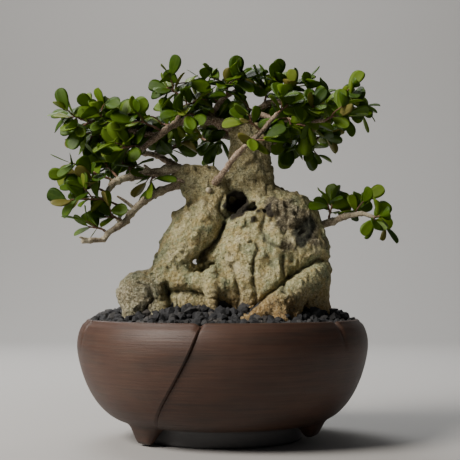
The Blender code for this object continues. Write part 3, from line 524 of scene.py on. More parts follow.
def finish(tree, shader, colour, height, depth):
    """Links a colour to a shader, and a relief in which a height of 1 stands for depth metres."""
    raised = node(tree, "Bump", {"Height": height, "Distance": depth, "Strength": 1.0})
    tree.links.new(colour, shader.inputs["Base Color"])
    tree.links.new(raised, shader.inputs["Normal"])


def stoneware_material():
    """Unglazed stoneware, turned and scraped: fine streaks, iron flashes, a smoked foot, a satin skin."""
    material, tree, shader = new_material("Unglazed brown stoneware", 0.48, ior=1.42)
    streaks = grains(tree, 0.8 * MM, stretch=(0.03, 0.03, 1.0))
    bands = grains(tree, 9.0 * MM, 3.0, stretch=(0.14, 0.14, 1.0))
    cloud = grains(tree, 38.0 * MM, 3.0)
    sand = grains(tree, 0.35 * MM, 2.0)
    smoke = node(tree, "Attribute", {}, out="Fac", attribute_name="smoke")
    colour = painted(
        tree, cloud, ((0.32, "2A211B"), (0.5, "3C2C23"), (0.68, "4F3E34")),
        (0.5, bands, ((0.32, "2B2623"), (0.54, "523529"), (0.74, "4A4039"))),
        (0.22, streaks, ((0.36, "2B2320"), (0.64, "5C4639"))),
        (smoke, None, "606162"),
    )
    relief = node(tree, "Math", {0: streaks, 1: 1.5, 2: sand}, operation="MULTIPLY_ADD")
    finish(tree, shader, colour, relief, 0.1 * MM)
    return material


def grit_material():
    """Black lava grit, crushed and sieved: porous, dusty, a little blue."""
    material, tree, shader = new_material("Black lava grit", 0.9)
    pores = grains(tree, 0.5 * MM, 3.0)
    tint = node(tree, "Attribute", {}, out="Fac", attribute_name="tint")
    colour = painted(
        tree, tint, ((0.0, "191A1C"), (0.5, "292A2C"), (0.85, "3F3D3A"), (1.0, "524D47")),
        (0.4, pores, ((0.35, "101112"), (0.7, "55565A"))),
    )
    finish(tree, shader, colour, pores, 0.3 * MM)
    return material


def trunk_material():
    """Old living bark: grey green and ochre plates, dark specks, painted shade in the creases, folds, hollows
    and pebble gaps, and a rough scar.
    """
    material, tree, shader = new_material("Old grey green bark", 0.85)
    patches = grains(tree, 13.0 * MM, 6.0, 0.72)
    plates = grains(tree, 7.0 * MM, 5.0, 0.68)
    fine = grains(tree, 1.2 * MM, 6.0, 0.75)
    specks = grains(tree, 0.8 * MM, 2.0)
    share = {
        name: node(tree, "Attribute", {}, out="Fac", attribute_name=name)
        for name in ("root", "crown", "ball", "scar", "moss", "crease", "hollow")
    }
    place = node(tree, "TexCoord", {}, out="Object")
    pebbles = node(tree, "TexVoronoi", {"Vector": place, "Scale": 1.0 / (1.9 * MM)}, feature="SMOOTH_F1")
    ochre = node(tree, "ValToRGB", {"Fac": plates}, ((0.49, "000000"), (0.58, "B4B4B4")))
    dots = node(tree, "ValToRGB", {"Fac": specks}, ((0.6, "000000"), (0.68, "FFFFFF")))
    # painted shade in the sunken gaps between the bark's pebbles
    pebble_gap_shade = node(tree, "ValToRGB", {"Fac": pebbles}, ((0.55, "000000"), (0.85, "909090")))
    bark = painted(
        tree, patches, ((0.36, "86966A"), (0.45, "B2BA8E"), (0.53, "D9CF94"), (0.62, "EEE4B6")),
        (ochre, None, "CDA23E"),
        (share["root"], patches, ((0.38, "9A6F42"), (0.5, "C4934F"), (0.62, "CFBA90"))),
        (share["crown"], plates, ((0.35, "544B33"), (0.52, "948457"), (0.68, "BDB081"))),
        (0.38, fine, ((0.38, "4A4630"), (0.5, "B3AD82"), (0.6, "F4EECC"))),
        (share["ball"], fine, ((0.4, "3D3A32"), (0.5, "8C8874"), (0.6, "CFC9B4"))),
        (dots, None, "4A4431"),
        # painted shade between the pebbles
        (pebble_gap_shade, None, "4A4433"),
        (share["scar"], fine, ((0.36, "29241B"), (0.5, "6B614D"), (0.62, "B9B096"))),
        (share["moss"], fine, ((0.4, "10140F"), (0.65, "38402F"))),
        # painted shade in the creases and folds
        (share["crease"], None, "33291B"),
        # painted shade inside the trunk's hollows
        (share["hollow"], None, "1E150E"),
    )
    relief = node(tree, "Math", {0: fine, 1: 1.6, 2: specks}, operation="MULTIPLY_ADD")
    relief = node(tree, "Math", {0: pebbles, 1: -1.2, 2: relief}, operation="MULTIPLY_ADD")
    finish(tree, shader, bark, relief, 1.4 * MM)
    return material


def branch_material():
    """Branch bark: grey brown, crusted with pale lichen or, where it is young, red brown and plain."""
    material, tree, shader = new_material("Young grey brown bark", 0.85)
    patches = grains(tree, 6.0 * MM, 5.0, 0.7)
    fine = grains(tree, 0.7 * MM, 5.0, 0.7)
    young = node(tree, "Attribute", {}, out="Fac", attribute_name="young")
    bark = painted(
        tree, patches, ((0.38, "6E6150"), (0.47, "9C9078"), (0.55, "B8B094"), (0.64, "D2CAB0")),
        (young, patches, ((0.4, "3F2920"), (0.5, "6B4A3B"), (0.62, "9C8070"))),
        (0.4, fine, ((0.41, "35291F"), (0.5, "94836C"), (0.6, "DDD2BA"))),
    )
    finish(tree, shader, bark, fine, 0.45 * MM)
    return material


def twig_material():
    """This year's twigs: smooth red brown bark with paler patches."""
    material, tree, shader = new_material("Red brown twig bark", 0.7)
    bark = painted(tree, grains(tree, 2.5 * MM, 3.0), ((0.3, "4A3324"), (0.55, "6E4E38"), (0.75, "8C765A")))
    tree.links.new(bark, shader.inputs["Base Color"])
    return material


def leaf_material():
    """A small living leaf: a waxy skin, a slightly paler midrib, and light showing through."""
    material, tree, shader = new_material("Waxy green leaf", 0.5, ior=1.36)
    blotch = grains(tree, 2.5 * MM, 3.0)
    tint = node(tree, "Attribute", {}, out="Fac", attribute_name="tint")
    across = node(tree, "Attribute", {}, out="Fac", attribute_name="across")
    rib = node(tree, "ValToRGB", {"Fac": across}, ((0.0, "595959"), (0.12, "000000")))
    greens = ((0.0, "22400C"), (0.35, "3C5C12"), (0.6, "58791A"), (0.85, "7E9A28"), (1.0, "8A7E40"))
    colour = painted(
        tree, tint, greens,
        (0.25, blotch, ((0.35, "28400A"), (0.7, "64801A"))),
        (rib, None, "8A9C48"),
    )
    finish(tree, shader, colour, blotch, 0.15 * MM)
    light = node(tree, "Mix", {"Factor": 0.5, "A": colour, "B": linear("94A826")}, data_type="RGBA")
    glow = node(tree, "BsdfTranslucent", {"Color": light})
    both = node(tree, "MixShader", {0: 0.36, 1: shader.outputs["BSDF"], 2: glow})
    tree.links.new(both, tree.nodes["Material Output"].inputs["Surface"])
    return material


def net_material(colour):
    """Injection-moulded polyethylene net: even and half matt."""
    return new_material("Black moulded net", 0.5, colour)[0]


def wire_material(colour):
    """Anodised aluminium wire: a tinted metal with soft, narrow glints."""
    return new_material("Brown anodised wire", 0.4, colour, metallic=1.0)[0]


def paper_material(colour):
    """Uncoated paper for the stage: fully matt."""
    return new_material("Matt pale paper", 0.9, colour)[0]


# --- pot ---------------------------------------------------------------------------------------


def wall_radius(height):
    """Outer radius of the bowl: a full quarter round up to the belly, then a growing lean in to the rim."""
    low = np.clip((height - RING_TOP) / (BELLY_HEIGHT - RING_TOP), 0.0, 1.0)
    high = np.clip((height - BELLY_HEIGHT) / (POT_HEIGHT - BELLY_HEIGHT), 0.0, 1.0)
    swell = (1.0 - (1.0 - low) ** 1.5) ** 0.39
    lean = high**2.3
    return FOOT_RADIUS + (POT_RADIUS - FOOT_RADIUS) * swell - RIM_INSET * lean


def pot_outline():
    """(radius, height) round the bowl's section, from the drain's inner edge over the lip to its outer edge.

    Each point has a kind: 0 inside, 1 on the lip and the outer wall, 2 on the foot ring and underneath.
    """
    outer_heights = RING_TOP + (POT_HEIGHT - RING_TOP) * np.linspace(1.0, 0.0, WALL_ROWS) ** 2.0
    outer = np.stack((wall_radius(outer_heights), outer_heights), axis=1)
    along = unit(np.gradient(outer, axis=0))
    inner = outer + np.stack((along[:, 1], -along[:, 0]), axis=1) * WALL
    inner = inner[(inner[:, 1] > FOOT_HEIGHT + FLOOR) & (inner[:, 1] < POT_HEIGHT - 3.0 * MM)][::-3]
    floor_radii = np.linspace(DRAIN_RADIUS, inner[0, 0] - 3.0 * MM, 6)
    floor = np.stack((floor_radii, np.full(len(floor_radii), FOOT_HEIGHT + FLOOR)), axis=1)
    lip_turn = np.linspace(math.radians(170), math.radians(15), 9)
    lip = np.stack((np.cos(lip_turn), np.sin(lip_turn)), axis=1) * LIP_RADIUS
    lip += (outer[0, 0] - LIP_RADIUS - 0.1 * MM, POT_HEIGHT + LIP_RISE - LIP_RADIUS)
    outer = outer[outer[:, 1] < POT_HEIGHT - 1.2 * MM]
    ring_low = FOOT_RADIUS - FOOT_WIDTH
    ring = np.array((
        (FOOT_RADIUS - 0.2 * MM, RING_TOP - 2.0 * MM), (FOOT_RADIUS, 1.6 * MM),
        (FOOT_RADIUS - 0.5 * MM, 0.5 * MM), (FOOT_RADIUS - 1.4 * MM, 0.0), (ring_low + 0.8 * MM, 0.0),
        (ring_low + 0.2 * MM, 0.2 * MM), (ring_low, 0.8 * MM), (ring_low, FOOT_HEIGHT - 0.6 * MM),
        (ring_low - 0.6 * MM, FOOT_HEIGHT), (DRAIN_RADIUS + 1.0 * MM, FOOT_HEIGHT),
        (DRAIN_RADIUS, FOOT_HEIGHT + 1.0 * MM),
    ))
    counts = (len(floor) + len(inner), len(lip) + len(outer), len(ring))
    return np.vstack((floor, inner, lip, outer, ring)), np.repeat((0, 1, 2), counts)


def pot_columns():
    """(angle, degrees left to the panel's own edge) of each column at the rim, closest at seams and pinches.

    A sine moves the evenly spaced columns of a panel towards its two ends and its middle.
    """
    starts = np.array(SEAM_ANGLES)
    ends = np.append(starts[1:], starts[0] + 360.0)
    share = np.linspace(0.0, 1.0, PANEL_COLUMNS)
    share = share - 0.8 * np.sin(4 * math.pi * share) / (4 * math.pi)
    angle = starts[:, None] + SEAM_GAP + (ends - starts - 2 * SEAM_GAP)[:, None] * share
    return angle.ravel(), (ends[:, None] - angle).ravel()


def build_pot():
    """The bowl as one surface: the section turned round, with three panels lapped over each other.

    Each panel rises a little towards its own edge and dips sharply where the last panel ends. The
    seams run round the bowl as they go down. Near its lower corner each panel is drawn down as a
    foot, and half way along its rim it is pinched into a short upright crease.
    """
    outline, kind = pot_outline()
    angle, left = pot_columns()
    started = 360.0 / len(SEAM_ANGLES) - left
    radius = np.repeat(outline[:, :1], len(angle), axis=1)
    height = np.repeat(outline[:, 1:], len(angle), axis=1)
    outside, under = (kind == 1)[:, None], (kind == 2)[:, None]
    share = smooth_step(height, RING_TOP, RING_TOP + 6.0 * MM)
    edge = np.exp(-left / EDGE_SPREAD) - np.exp(-((started / GROOVE_WIDTH) ** 2))
    lap = EDGE_RISE * edge - EDGE_SLACK * np.exp(-started / SLACK_SPREAD)
    radius = radius + outside * lap * share
    fall = 1.0 - np.clip(np.maximum(height, RING_TOP) / POT_HEIGHT, 0.0, 1.0)
    sweep = SEAM_SWEEP * fall**1.7 + SEAM_BOW * fall * (1.0 - fall) ** 3
    turned = angle - sweep * (outside | under)
    corner = smooth_step(left, *CORNER_FOOT_SPAN[:2]) * (1.0 - smooth_step(left, *CORNER_FOOT_SPAN[2:]))
    reach = corner * outside * np.exp(-np.abs((radius - CORNER_FOOT_MIDDLE) / CORNER_FOOT_REACH) ** 3)
    lifts = np.repeat(CORNER_FOOT_LIFTS, len(angle) // len(SEAM_ANGLES))
    height = height - reach * np.maximum(height - lifts, 0.0)
    middles = np.array(SEAM_ANGLES)[:, None, None] + 180.0 / len(SEAM_ANGLES)
    aside = np.abs((turned - middles + 180.0) % 360.0 - 180.0).min(axis=0)
    high = smooth_step(height, POT_HEIGHT - PINCH_LENGTH, POT_HEIGHT) ** 1.5
    pinch = np.exp(-((aside / PINCH_WIDTH) ** 2)) * high * (kind[:, None] < 2)
    radius = radius - PINCH_DEPTH * pinch * outside
    seam = np.exp(-((np.minimum(left, started) / SEAM_DIP_WIDTH) ** 2))
    near_rim = smooth_step(height, POT_HEIGHT - DIP_LENGTH, POT_HEIGHT)
    height = height - (SEAM_DIP * seam + PINCH_DIP * pinch) * near_rim
    turn = np.radians(turned)
    verts = np.stack((radius * np.cos(turn), radius * np.sin(turn), height), axis=-1)
    flat = verts.reshape(-1, 3)
    wobble = layered_noise(flat, 30.0 * MM, 2, 5) * HAND_WOBBLE
    lift = smooth_step(flat[:, 2], 8.0 * MM, 20.0 * MM)
    flat = flat + unit(flat * (1.0, 1.0, 0.0)) * (wobble * lift)[:, None]
    rows, columns = verts.shape[:2]
    faces = grid_faces(rows, columns, wrap=True)[:, ::-1]
    top = np.arange(columns)
    bottom = top + (rows - 1) * columns
    drain = np.stack((top, bottom, np.roll(bottom, -1), np.roll(top, -1)), axis=1)
    smoke = SMOKED_SHARE * np.where(under, 1.0, np.exp(-(((radius - FOOT_RADIUS) / SMOKED_WIDTH) ** 2)))
    values = {"smoke": smoke.ravel()}
    mesh = made_mesh("pot_bowl", flat, [faces, drain[:, ::-1]], [stoneware_material()], values=values)
    return add_piece("pot_bowl", mesh, ["pot"])


# --- soil --------------------------------------------------------------------------------------


def mound_height(x, y):
    """Height of the grit at x and y: a rounded heap, wider from side to side than from front to back."""
    across = np.hypot((x / MM - MOUND_CENTRE[0]) / MOUND_STRETCH, y / MM - MOUND_CENTRE[1])
    share = np.clip(1.0 - (across / MOUND_RADIUS) ** 2.5, 0.0, 1.0)
    return POT_HEIGHT - SOIL_EDGE_DROP + (MOUND_HEIGHT + SOIL_EDGE_DROP) * share


def build_soil_bed(material):
    """The bed of grit under the loose grains: a dished disc with a lumpy top, closed below."""
    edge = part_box("soil")[1].x - 0.1 * MM
    radii = np.linspace(0.02, 1.0, 60) * edge
    turn = np.linspace(0.0, 2 * math.pi, 160, endpoint=False)
    x, y = radii[:, None] * np.cos(turn), radii[:, None] * np.sin(turn)
    z = mound_height(x, y) - BED_DEPTH
    top = np.stack((x, y, z), axis=-1).reshape(-1, 3)
    top[:, 2] += layered_noise(top, 4.0 * MM, 2, 11) * 0.5 * MM
    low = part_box("soil")[0].z
    base = np.stack((0.6 * x[-1], 0.6 * y[-1], np.full(len(turn), low)), axis=-1)
    verts = np.vstack((top, base, (0.0, 0.0, top[0, 2]), (0.0, 0.0, low)))
    faces = grid_faces(len(radii) + 1, len(turn), wrap=True)
    first = np.arange(len(turn))
    last = first + len(radii) * len(turn)
    groups = [faces, fan(last, len(verts) - 1)[:, ::-1], fan(first, len(verts) - 2)]
    mesh = made_mesh("soil_bed", verts, groups, [material], values={"tint": np.full(len(verts), 0.2)})
    return add_piece("soil_bed", mesh, ["soil"])


def ball_template():
    """A ball of 32 faces: an octahedron's edges halved and pushed out."""
    corners = np.array(((1, 0, 0), (0, 1, 0), (-1, 0, 0), (0, -1, 0), (0, 0, 1), (0, 0, -1)), float)
    faces = np.array([(i, (i + 1) % 4, 4) for i in range(4)] + [((i + 1) % 4, i, 5) for i in range(4)])
    middles = corners[faces] + corners[np.roll(faces, -1, axis=1)]
    verts = np.concatenate((corners[faces].reshape(-1, 3), unit(middles).reshape(-1, 3)))
    verts, index = np.unique(np.round(verts, 9), axis=0, return_inverse=True)
    index = index.reshape(2, -1, 3)
    corner, middle = index
    parts = [np.stack((corner[:, k], middle[:, k], middle[:, k - 1]), axis=1) for k in range(3)]
    return verts, np.concatenate((*parts, middle))


def build_grit(settings, material):
    """Loose lava grains on the mound: balls, each squashed, turned and roughened in its own way."""
    random = np.random.default_rng(settings.seed)
    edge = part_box("soil")[1].x
    pitch = settings.grain_size * 0.8
    count = int((2 * edge / pitch) ** 2)
    spots = random.uniform(-edge, edge, (count, 2))
    size = settings.grain_size * random.uniform(0.32, 0.62, count) * random.choice((1.0, 1.0, 1.25), count)
    keep = np.hypot(spots[:, 0], spots[:, 1]) < edge - size * 0.9
    spots, size = spots[keep], size[keep]
    layer = random.uniform(-0.25, 0.55, len(spots))
    centres = np.column_stack((spots, mound_height(spots[:, 0], spots[:, 1]) + layer * size))
    ball, faces = ball_template()
    stretch = random.uniform(0.65, 1.2, (len(spots), 1, 3))
    rough = random.uniform(0.78, 1.18, (len(spots), len(ball), 1))
    axes = unit(random.normal(size=(len(spots), 3)))
    other = unit(np.cross(axes, random.normal(size=(len(spots), 3))))
    turns = np.stack((axes, other, np.cross(axes, other)), axis=1)
    points = np.einsum("nvi,nij->nvj", ball * stretch * rough, turns) * size[:, None, None] + centres[:, None]
    shifts = (np.arange(len(spots)) * len(ball))[:, None, None]
    tint = np.repeat(random.uniform(0.0, 1.0, len(spots)) ** 1.6, len(ball))
    mesh = made_mesh(
        "grit_grains", points.reshape(-1, 3), [(faces + shifts).reshape(-1, 3)], [material],
        values={"tint": tint}, smooth=False,
    )
    return add_piece("grit_grains", mesh)


# --- trunk -------------------------------------------------------------------------------------


class Field:
    """A block of distances to a surface, on a cubic grid: below zero inside."""

    def __init__(self, low, high, step, far):
        self.low, self.step, self.far = np.asarray(low, float), step, far
        shape = np.ceil((np.asarray(high) - self.low) / step).astype(int) + 1
        self.values = np.full(shape, far)

    def block(self, low, high):
        """The slices and the points of the part of the grid between two corners."""
        first = np.clip(np.floor((low - self.low) / self.step).astype(int), 0, self.values.shape)
        last = np.clip(np.ceil((high - self.low) / self.step).astype(int) + 1, 0, self.values.shape)
        slices = tuple(slice(a, b) for a, b in zip(first, last))
        axes = [self.low[k] + self.step * np.arange(first[k], last[k]) for k in range(3)]
        return slices, np.stack(np.meshgrid(*axes, indexing="ij"), axis=-1)


def smooth_min(a, b, width):
    """The lesser of two distances, with the join rounded over a width."""
    share = np.clip(0.5 + 0.5 * (b - a) / width, 0.0, 1.0)
    return b + (a - b) * share - width * share * (1.0 - share)


def bead_distance(points, start, end, low_radius, high_radius, before, wrinkle):
    """Distance from points to a tapered bar between two beads, with ring wrinkles along it."""
    along = end - start
    share = np.clip((points - start) @ along / (along @ along), 0.0, 1.0)
    gap = np.linalg.norm(points - (start + share[..., None] * along), axis=-1)
    place = before + share * np.linalg.norm(along)
    wobble = 0.6 * np.sin(place / (9.0 * MM)) + 0.25 * np.sin(points @ np.array((700.0, 900.0, 500.0)))
    rings = np.abs(np.sin(place * math.pi / WRINKLE_SPACING + wobble * 2.0)) ** 0.7
    return gap - (low_radius + (high_radius - low_radius) * share) - wrinkle * (rings - 0.6)


def add_chain(field, beads, blend, wrinkle, hollow=False):
    """Grows a chain of beads onto the field, or takes it out."""
    points, radii = beads_of(beads)
    before = 0.0
    for i in range(len(points) - 1):
        reach = max(radii[i], radii[i + 1]) + field.far
        low = np.minimum(points[i], points[i + 1]) - reach
        high = np.maximum(points[i], points[i + 1]) + reach
        slices, places = field.block(low, high)
        gap = bead_distance(places, points[i], points[i + 1], radii[i], radii[i + 1], before, wrinkle)
        if hollow:
            gap += HOLLOW_ROUGHNESS * noise(places.reshape(-1, 3), 4.5 * MM, 58).reshape(gap.shape)
        old = field.values[slices]
        field.values[slices] = -smooth_min(-old, gap, blend) if hollow else smooth_min(old, gap, blend)
        before += np.linalg.norm(points[i + 1] - points[i])


def fold_depth(points):
    """(depth in metres, share) of the folds at points: grooves along lines drawn on the trunk's front."""
    bent = points + 0.9 * MM * drift(points, 4.0 * MM, 15)
    flat = bent[:, (0, 2)]
    depth, share = np.zeros(len(points)), np.zeros(len(points))
    for width, deep, line in FOLDS:
        corners = np.array(line, float) * MM + (0.0, POT_HEIGHT)
        near = np.full(len(points), np.inf)
        for start, end in zip(corners[:-1], corners[1:]):
            along = end - start
            part = np.clip((flat - start) @ along / (along @ along), 0.0, 1.0)
            near = np.minimum(near, np.linalg.norm(flat - start - part[:, None] * along, axis=1))
        hit = np.exp(-((near / (width * MM)) ** 2))
        depth = np.maximum(depth, hit * deep * MM)
        share = np.maximum(share, hit)
    front = smooth_step(-points[:, 1], 2.0 * MM, 8.0 * MM)
    return depth * front, share * front


def scar_share(points, low, high):
    """How far inside the scars each point lies: 0 at high times a scar's radius, 1 at low times it."""
    share = np.zeros(len(points))
    for middle, radius in zip(*beads_of(SCARS)):
        gap = np.linalg.norm(points - middle, axis=1)
        share = np.maximum(share, 1.0 - smooth_step(gap, low * radius, high * radius))
    return share


def hollow_share(verts):
    """How near each point lies to the inside of a hollow, where shade is painted: 1 in it, 0 from 2 mm
    outside it.
    """
    share = np.zeros(len(verts))
    for beads in HOLLOWS:
        points, radii = beads_of(beads)
        for i in range(len(points) - 1):
            gap = bead_distance(verts, points[i], points[i + 1], radii[i], radii[i + 1], 0.0, 0.0)
            share = np.maximum(share, 1.0 - smooth_step(gap, 0.4 * MM, 2.0 * MM))
    return share * smooth_step(verts[:, 2] - POT_HEIGHT, 40.0 * MM, 45.0 * MM)


def roughen(field):
    """Old bark, added to the distances near the surface: noises for lumps, warts, cracks, knobs and pits.

    Lumps and warts are weaker on the low roots, knobs are on the upper trunk, and pits in the scars.
    """
    near = np.abs(field.values) < 5.0 * MM
    points = field.low + field.step * np.argwhere(near)
    lumps = layered_noise(points, 9.0 * MM, 2, 21) * 0.9 * MM
    lumps += layered_noise(points, 3.6 * MM, 2, 24) * 0.5 * MM
    warts = smooth_step(noise(points, 2.6 * MM, 31), 0.1, 0.8) * 1.1 * MM
    veins = np.abs(noise(points * (1.0, 1.0, 0.6), 5.0 * MM, 41))
    cracks = (1.0 - smooth_step(veins, 0.0, 0.14)) * 0.6 * MM
    scar = scar_share(points, 0.4, 1.1)
    pits = (noise(points, 2.2 * MM, 51) * 1.3 + noise(points, 4.0 * MM, 52) * 1.2 + 0.4) * MM
    knobs = smooth_step(noise(points, 5.0 * MM, 55), 0.1, 0.8) * 1.6 * MM
    above = points[:, 2] - POT_HEIGHT
    left_root = 0.5 * (points[:, 0] < -22.0 * MM)
    old = 0.35 + 0.65 * np.maximum(smooth_step(above, 14.0 * MM, 30.0 * MM), left_root)
    upper = smooth_step(above, 50.0 * MM, 60.0 * MM)
    fade = 1.0 - smooth_step(np.abs(field.values[near]), 1.2 * MM, 3.2 * MM)
    relief = cracks - (lumps + warts) * old - knobs * upper + scar * pits
    field.values[near] += relief * fade + fold_depth(points)[0]


def surface_net(field):
    """The zero surface of a field as quads: one point in each cell that the surface crosses.

    The point is the mean of the crossings on the cell's twelve edges, and each grid edge that the
    surface crosses gives one quad through the four cells round it.
    """
    values = field.values
    inside = values < 0.0
    cells = np.array(values.shape) - 1
    total = np.zeros((*cells, 3))
    count = np.zeros(cells)
    crossings = []
    for axis in range(3):
        here = [slice(None)] * 3
        there = [slice(None)] * 3
        here[axis], there[axis] = slice(None, -1), slice(1, None)
        here, there = tuple(here), tuple(there)
        crossed = inside[here] != inside[there]
        span = np.where(crossed, values[here] - values[there], 1.0)
        share = np.where(crossed, values[here] / span, 0.0)
        crossings.append(crossed)
        others = [k for k in range(3) if k != axis]
        for first, second in np.ndindex(2, 2):
            part = [slice(None)] * 3
            part[others[0]] = slice(first, first + cells[others[0]])
            part[others[1]] = slice(second, second + cells[others[1]])
            part = tuple(part)
            hit = crossed[part]
            count += hit
            total[..., axis] += share[part]
            total[..., others[0]] += hit * first
            total[..., others[1]] += hit * second
    active = count > 0
    index = np.full(cells, -1)
    index[active] = np.arange(active.sum())
    corner = np.argwhere(active)
    verts = field.low + field.step * (corner + total[active] / count[active][:, None])
    quads = []
    for axis, crossed in enumerate(crossings):
        a, b = [k for k in range(3) if k != axis]
        place = np.argwhere(crossed)
        pair = place[:, (a, b)]
        place = place[((pair > 0) & (pair < (cells[a], cells[b]))).all(axis=1)]
        ring = []
        for first, second in ((0, 0), (1, 0), (1, 1), (0, 1)):
            cell = place.copy()
            cell[:, a] -= first
            cell[:, b] -= second
            ring.append(index[tuple(cell.T)])
        quad = np.stack(ring, axis=1)
        leaving = inside[tuple(place.T)] == (axis != 1)
        quads.append(np.where(leaving[:, None], quad, quad[:, ::-1]))
    return verts, np.concatenate(quads)


def crease_of(field, verts):
    """How deep in a hollow each point lies, for the shade painted into creases: how much further out the
    average surface round it is.
    """
    total = np.zeros(len(verts))
    spread = field.values.copy()
    for reach, strength in ((1, 2.0), (3, 1.0)):
        for axis in range(3):
            spread = (np.roll(spread, reach, axis) + np.roll(spread, -reach, axis) + spread) / 3.0
        place = np.round((verts - field.low) / field.step).astype(int)
        place = tuple(np.clip(place, 0, np.array(spread.shape) - 1).T)
        total += smooth_step(field.values[place] - spread[place], 0.12 * MM, 0.8 * MM) * strength / 3.0
    return np.clip(total, 0.0, 1.0)


def build_trunk(settings):
    """The trunk as the zero surface of a field: chains of beads grown together, hollowed and roughened.

    Its points carry the shares by which its bark is coloured, each an easy slope in place or depth. The
    crease and hollow shares paint shade into them.
    """
    points, radii = beads_of([bead for _, _, chain in MASSES for bead in chain])
    margin = radii.max() + 4.0 * MM
    low, high = points.min(axis=0) - margin, points.max(axis=0) + margin
    low[2] = POT_HEIGHT - ROOT_DEPTH
    step = settings.trunk_detail * 1.0
    field = Field(low, high, step, SKIN_REACH)
    for blend, wrinkle, chain in MASSES:
        add_chain(field, chain, blend * MM, wrinkle * MM)
    for chain in HOLLOWS:
        add_chain(field, chain, HOLLOW_BLEND, 0.0, hollow=True)
    roughen(field)
    field.values[:, :, :2] = field.far  # closes the trunk below, inside the grit
    verts, quads = surface_net(field)
    ragged = verts + 3.5 * MM * drift(verts, 5.0 * MM, 61)
    above = ragged[:, 2] - POT_HEIGHT
    moss = np.hypot((ragged[:, 0] / MM - MOSS[0]) / MOSS_SIZE[0], (above / MM - MOSS[1]) / MOSS_SIZE[1])
    low_down = 1.0 - smooth_step(above, 16.0 * MM, 32.0 * MM)
    at_ground = 1.0 - smooth_step(above, 3.0 * MM, 20.0 * MM)
    values = {
        # painted shade in the creases and along the front folds
        "crease": np.maximum(crease_of(field, verts) * 0.8, fold_depth(verts)[1] ** 3 * 0.7),
        "ball": (1.0 - smooth_step(verts[:, 0], -36.0 * MM, -26.0 * MM)) * low_down * 0.7,
        # painted shade inside the hollows
        "hollow": hollow_share(ragged) * 0.95,
        "scar": scar_share(ragged, 0.75, 1.15) * 0.85,
        "moss": (1.0 - smooth_step(moss, 0.8, 1.4)) * (verts[:, 1] < 0.0) * 0.9,
        "root": at_ground * smooth_step(verts[:, 0], -26.0 * MM, 10.0 * MM),
        "crown": smooth_step(above, 56.0 * MM, 72.0 * MM) * 0.75,
    }
    mesh = made_mesh("trunk_wood", verts, [quads], [trunk_material()], values=values)
    return add_piece("trunk_wood", mesh, ["trunk"])


# --- branches and shoots -----------------------------------------------------------------------


def build_branch(name, route, material):
    """One branch: a smooth line through its beads, swelling at its nodes and rough with bark."""
    points, radii = resampled(*beads_of(route), BARK_STEP)
    along = np.linspace(0.0, 1.0, len(points))
    length = np.linalg.norm(np.diff(points, axis=0), axis=1).sum()
    points = points + drift(points, 7.0 * MM, 70) * 0.5 * MM
    knots = KNOT_SWELL * np.maximum(np.sin(along * length / KNOT_SPACING * 2 * math.pi), 0.0) ** 6

    def relief(places):
        flat = places.reshape(-1, 3)
        rough = layered_noise(flat, 2.5 * MM, 3, 81) * BARK_RELIEF
        return rough.reshape(places.shape[:2]) + knots[:, None]

    verts, groups = limb(points, radii, 14, relief)
    young = np.full(len(verts), 0.0 if name in LICHENED else 0.8)
    mesh = made_mesh(f"{name}_wood", verts, groups, [material], values={"young": young})
    return add_piece(f"{name}_wood", mesh, [name])


def leaf_template():
    """A rounded obovate leaf of unit length along X: (points, faces, distance from the midrib).

    The half width grows from a short stalk to its widest beyond the middle and rounds off at the
    tip. The upper side has five columns and the lower side three, and they share the rim.
    """
    along = np.array((0.0, 0.1, 0.22, 0.38, 0.55, 0.7, 0.84, 0.94, 0.985, 1.0))
    blade = np.clip((along - 0.08) / 0.92, 0.0, 1.0)
    half = LEAF_HALF_WIDTH * blade**0.58 * (1.0 - blade**3.4) ** 0.5 + LEAF_STALK
    across = np.array((-1.0, -0.55, 0.0, 0.55, 1.0))
    x = np.repeat(along[:, None], 5, axis=1)
    y = half[:, None] * across
    z = LEAF_FOLD * np.abs(y) - LEAF_CURL * x**2
    top = np.stack((x, y, z), axis=-1)
    rib = top[:, 2] - (0.0, 0.0, LEAF_RIB)
    verts = np.concatenate((top.reshape(-1, 3), rib))
    upper = grid_faces(len(along), 5, wrap=False)
    row = np.arange(len(along) - 1)
    below = 5 * len(along) + row
    left = np.stack((5 * row, 5 * row + 5, below + 1, below), axis=1)
    right = np.stack((5 * row + 4, below, below + 1, 5 * row + 9), axis=1)
    distance = np.concatenate((np.tile(np.abs(across), len(along)), np.zeros(len(along))))
    return verts, np.concatenate((upper[:, ::-1], left[:, ::-1], right[:, ::-1])), distance


def leaf_poses(line, count, spread, random):
    """(bases, axes, faces) of a twig's leaves: a spiral along its outer part, faced up and to the front."""
    place = np.clip(1.0 - (np.arange(count) + random.uniform(-0.3, 0.3, count)) / count * spread, 0.0, 1.0)
    station = place * (len(line) - 1)
    index = np.minimum(station.astype(int), len(line) - 2)
    base = line[index] + (line[index + 1] - line[index]) * (station - index)[:, None]
    tangent = unit(line[index + 1] - line[index])
    side = unit(np.cross(tangent, (0.0, 0.0, 1.0)) + (1e-6, 0.0, 0.0))
    over = np.cross(side, tangent)
    turn = GOLDEN_ANGLE * np.arange(count) + random.uniform(0.0, 2 * math.pi)
    turn += random.normal(0.0, 0.3, count)
    across = side * np.cos(turn)[:, None] + over * np.sin(turn)[:, None]
    lean = np.clip(0.45 + 1.3 * (1.0 - place), 0.0, 1.35) + random.normal(0.0, 0.15, count)
    axes = tangent * np.cos(lean)[:, None] + across * np.sin(lean)[:, None] + (0.0, 0.0, 0.12)
    out = unit((base - on_tree((0.0, 0.0, 70.0))) * (0.6, 1.0, 0.4))
    front = 0.5 * (1.0 - smooth_step(base[:, 1], 0.0, 30.0 * MM))
    faces = out * 0.45 + random.normal(0.0, 0.45, (count, 3)) + (0.0, 0.0, 0.55)
    faces[:, 1] -= front
    axes = unit(axes)
    return base, axes, unit(faces - axes * (faces * axes).sum(axis=1, keepdims=True))


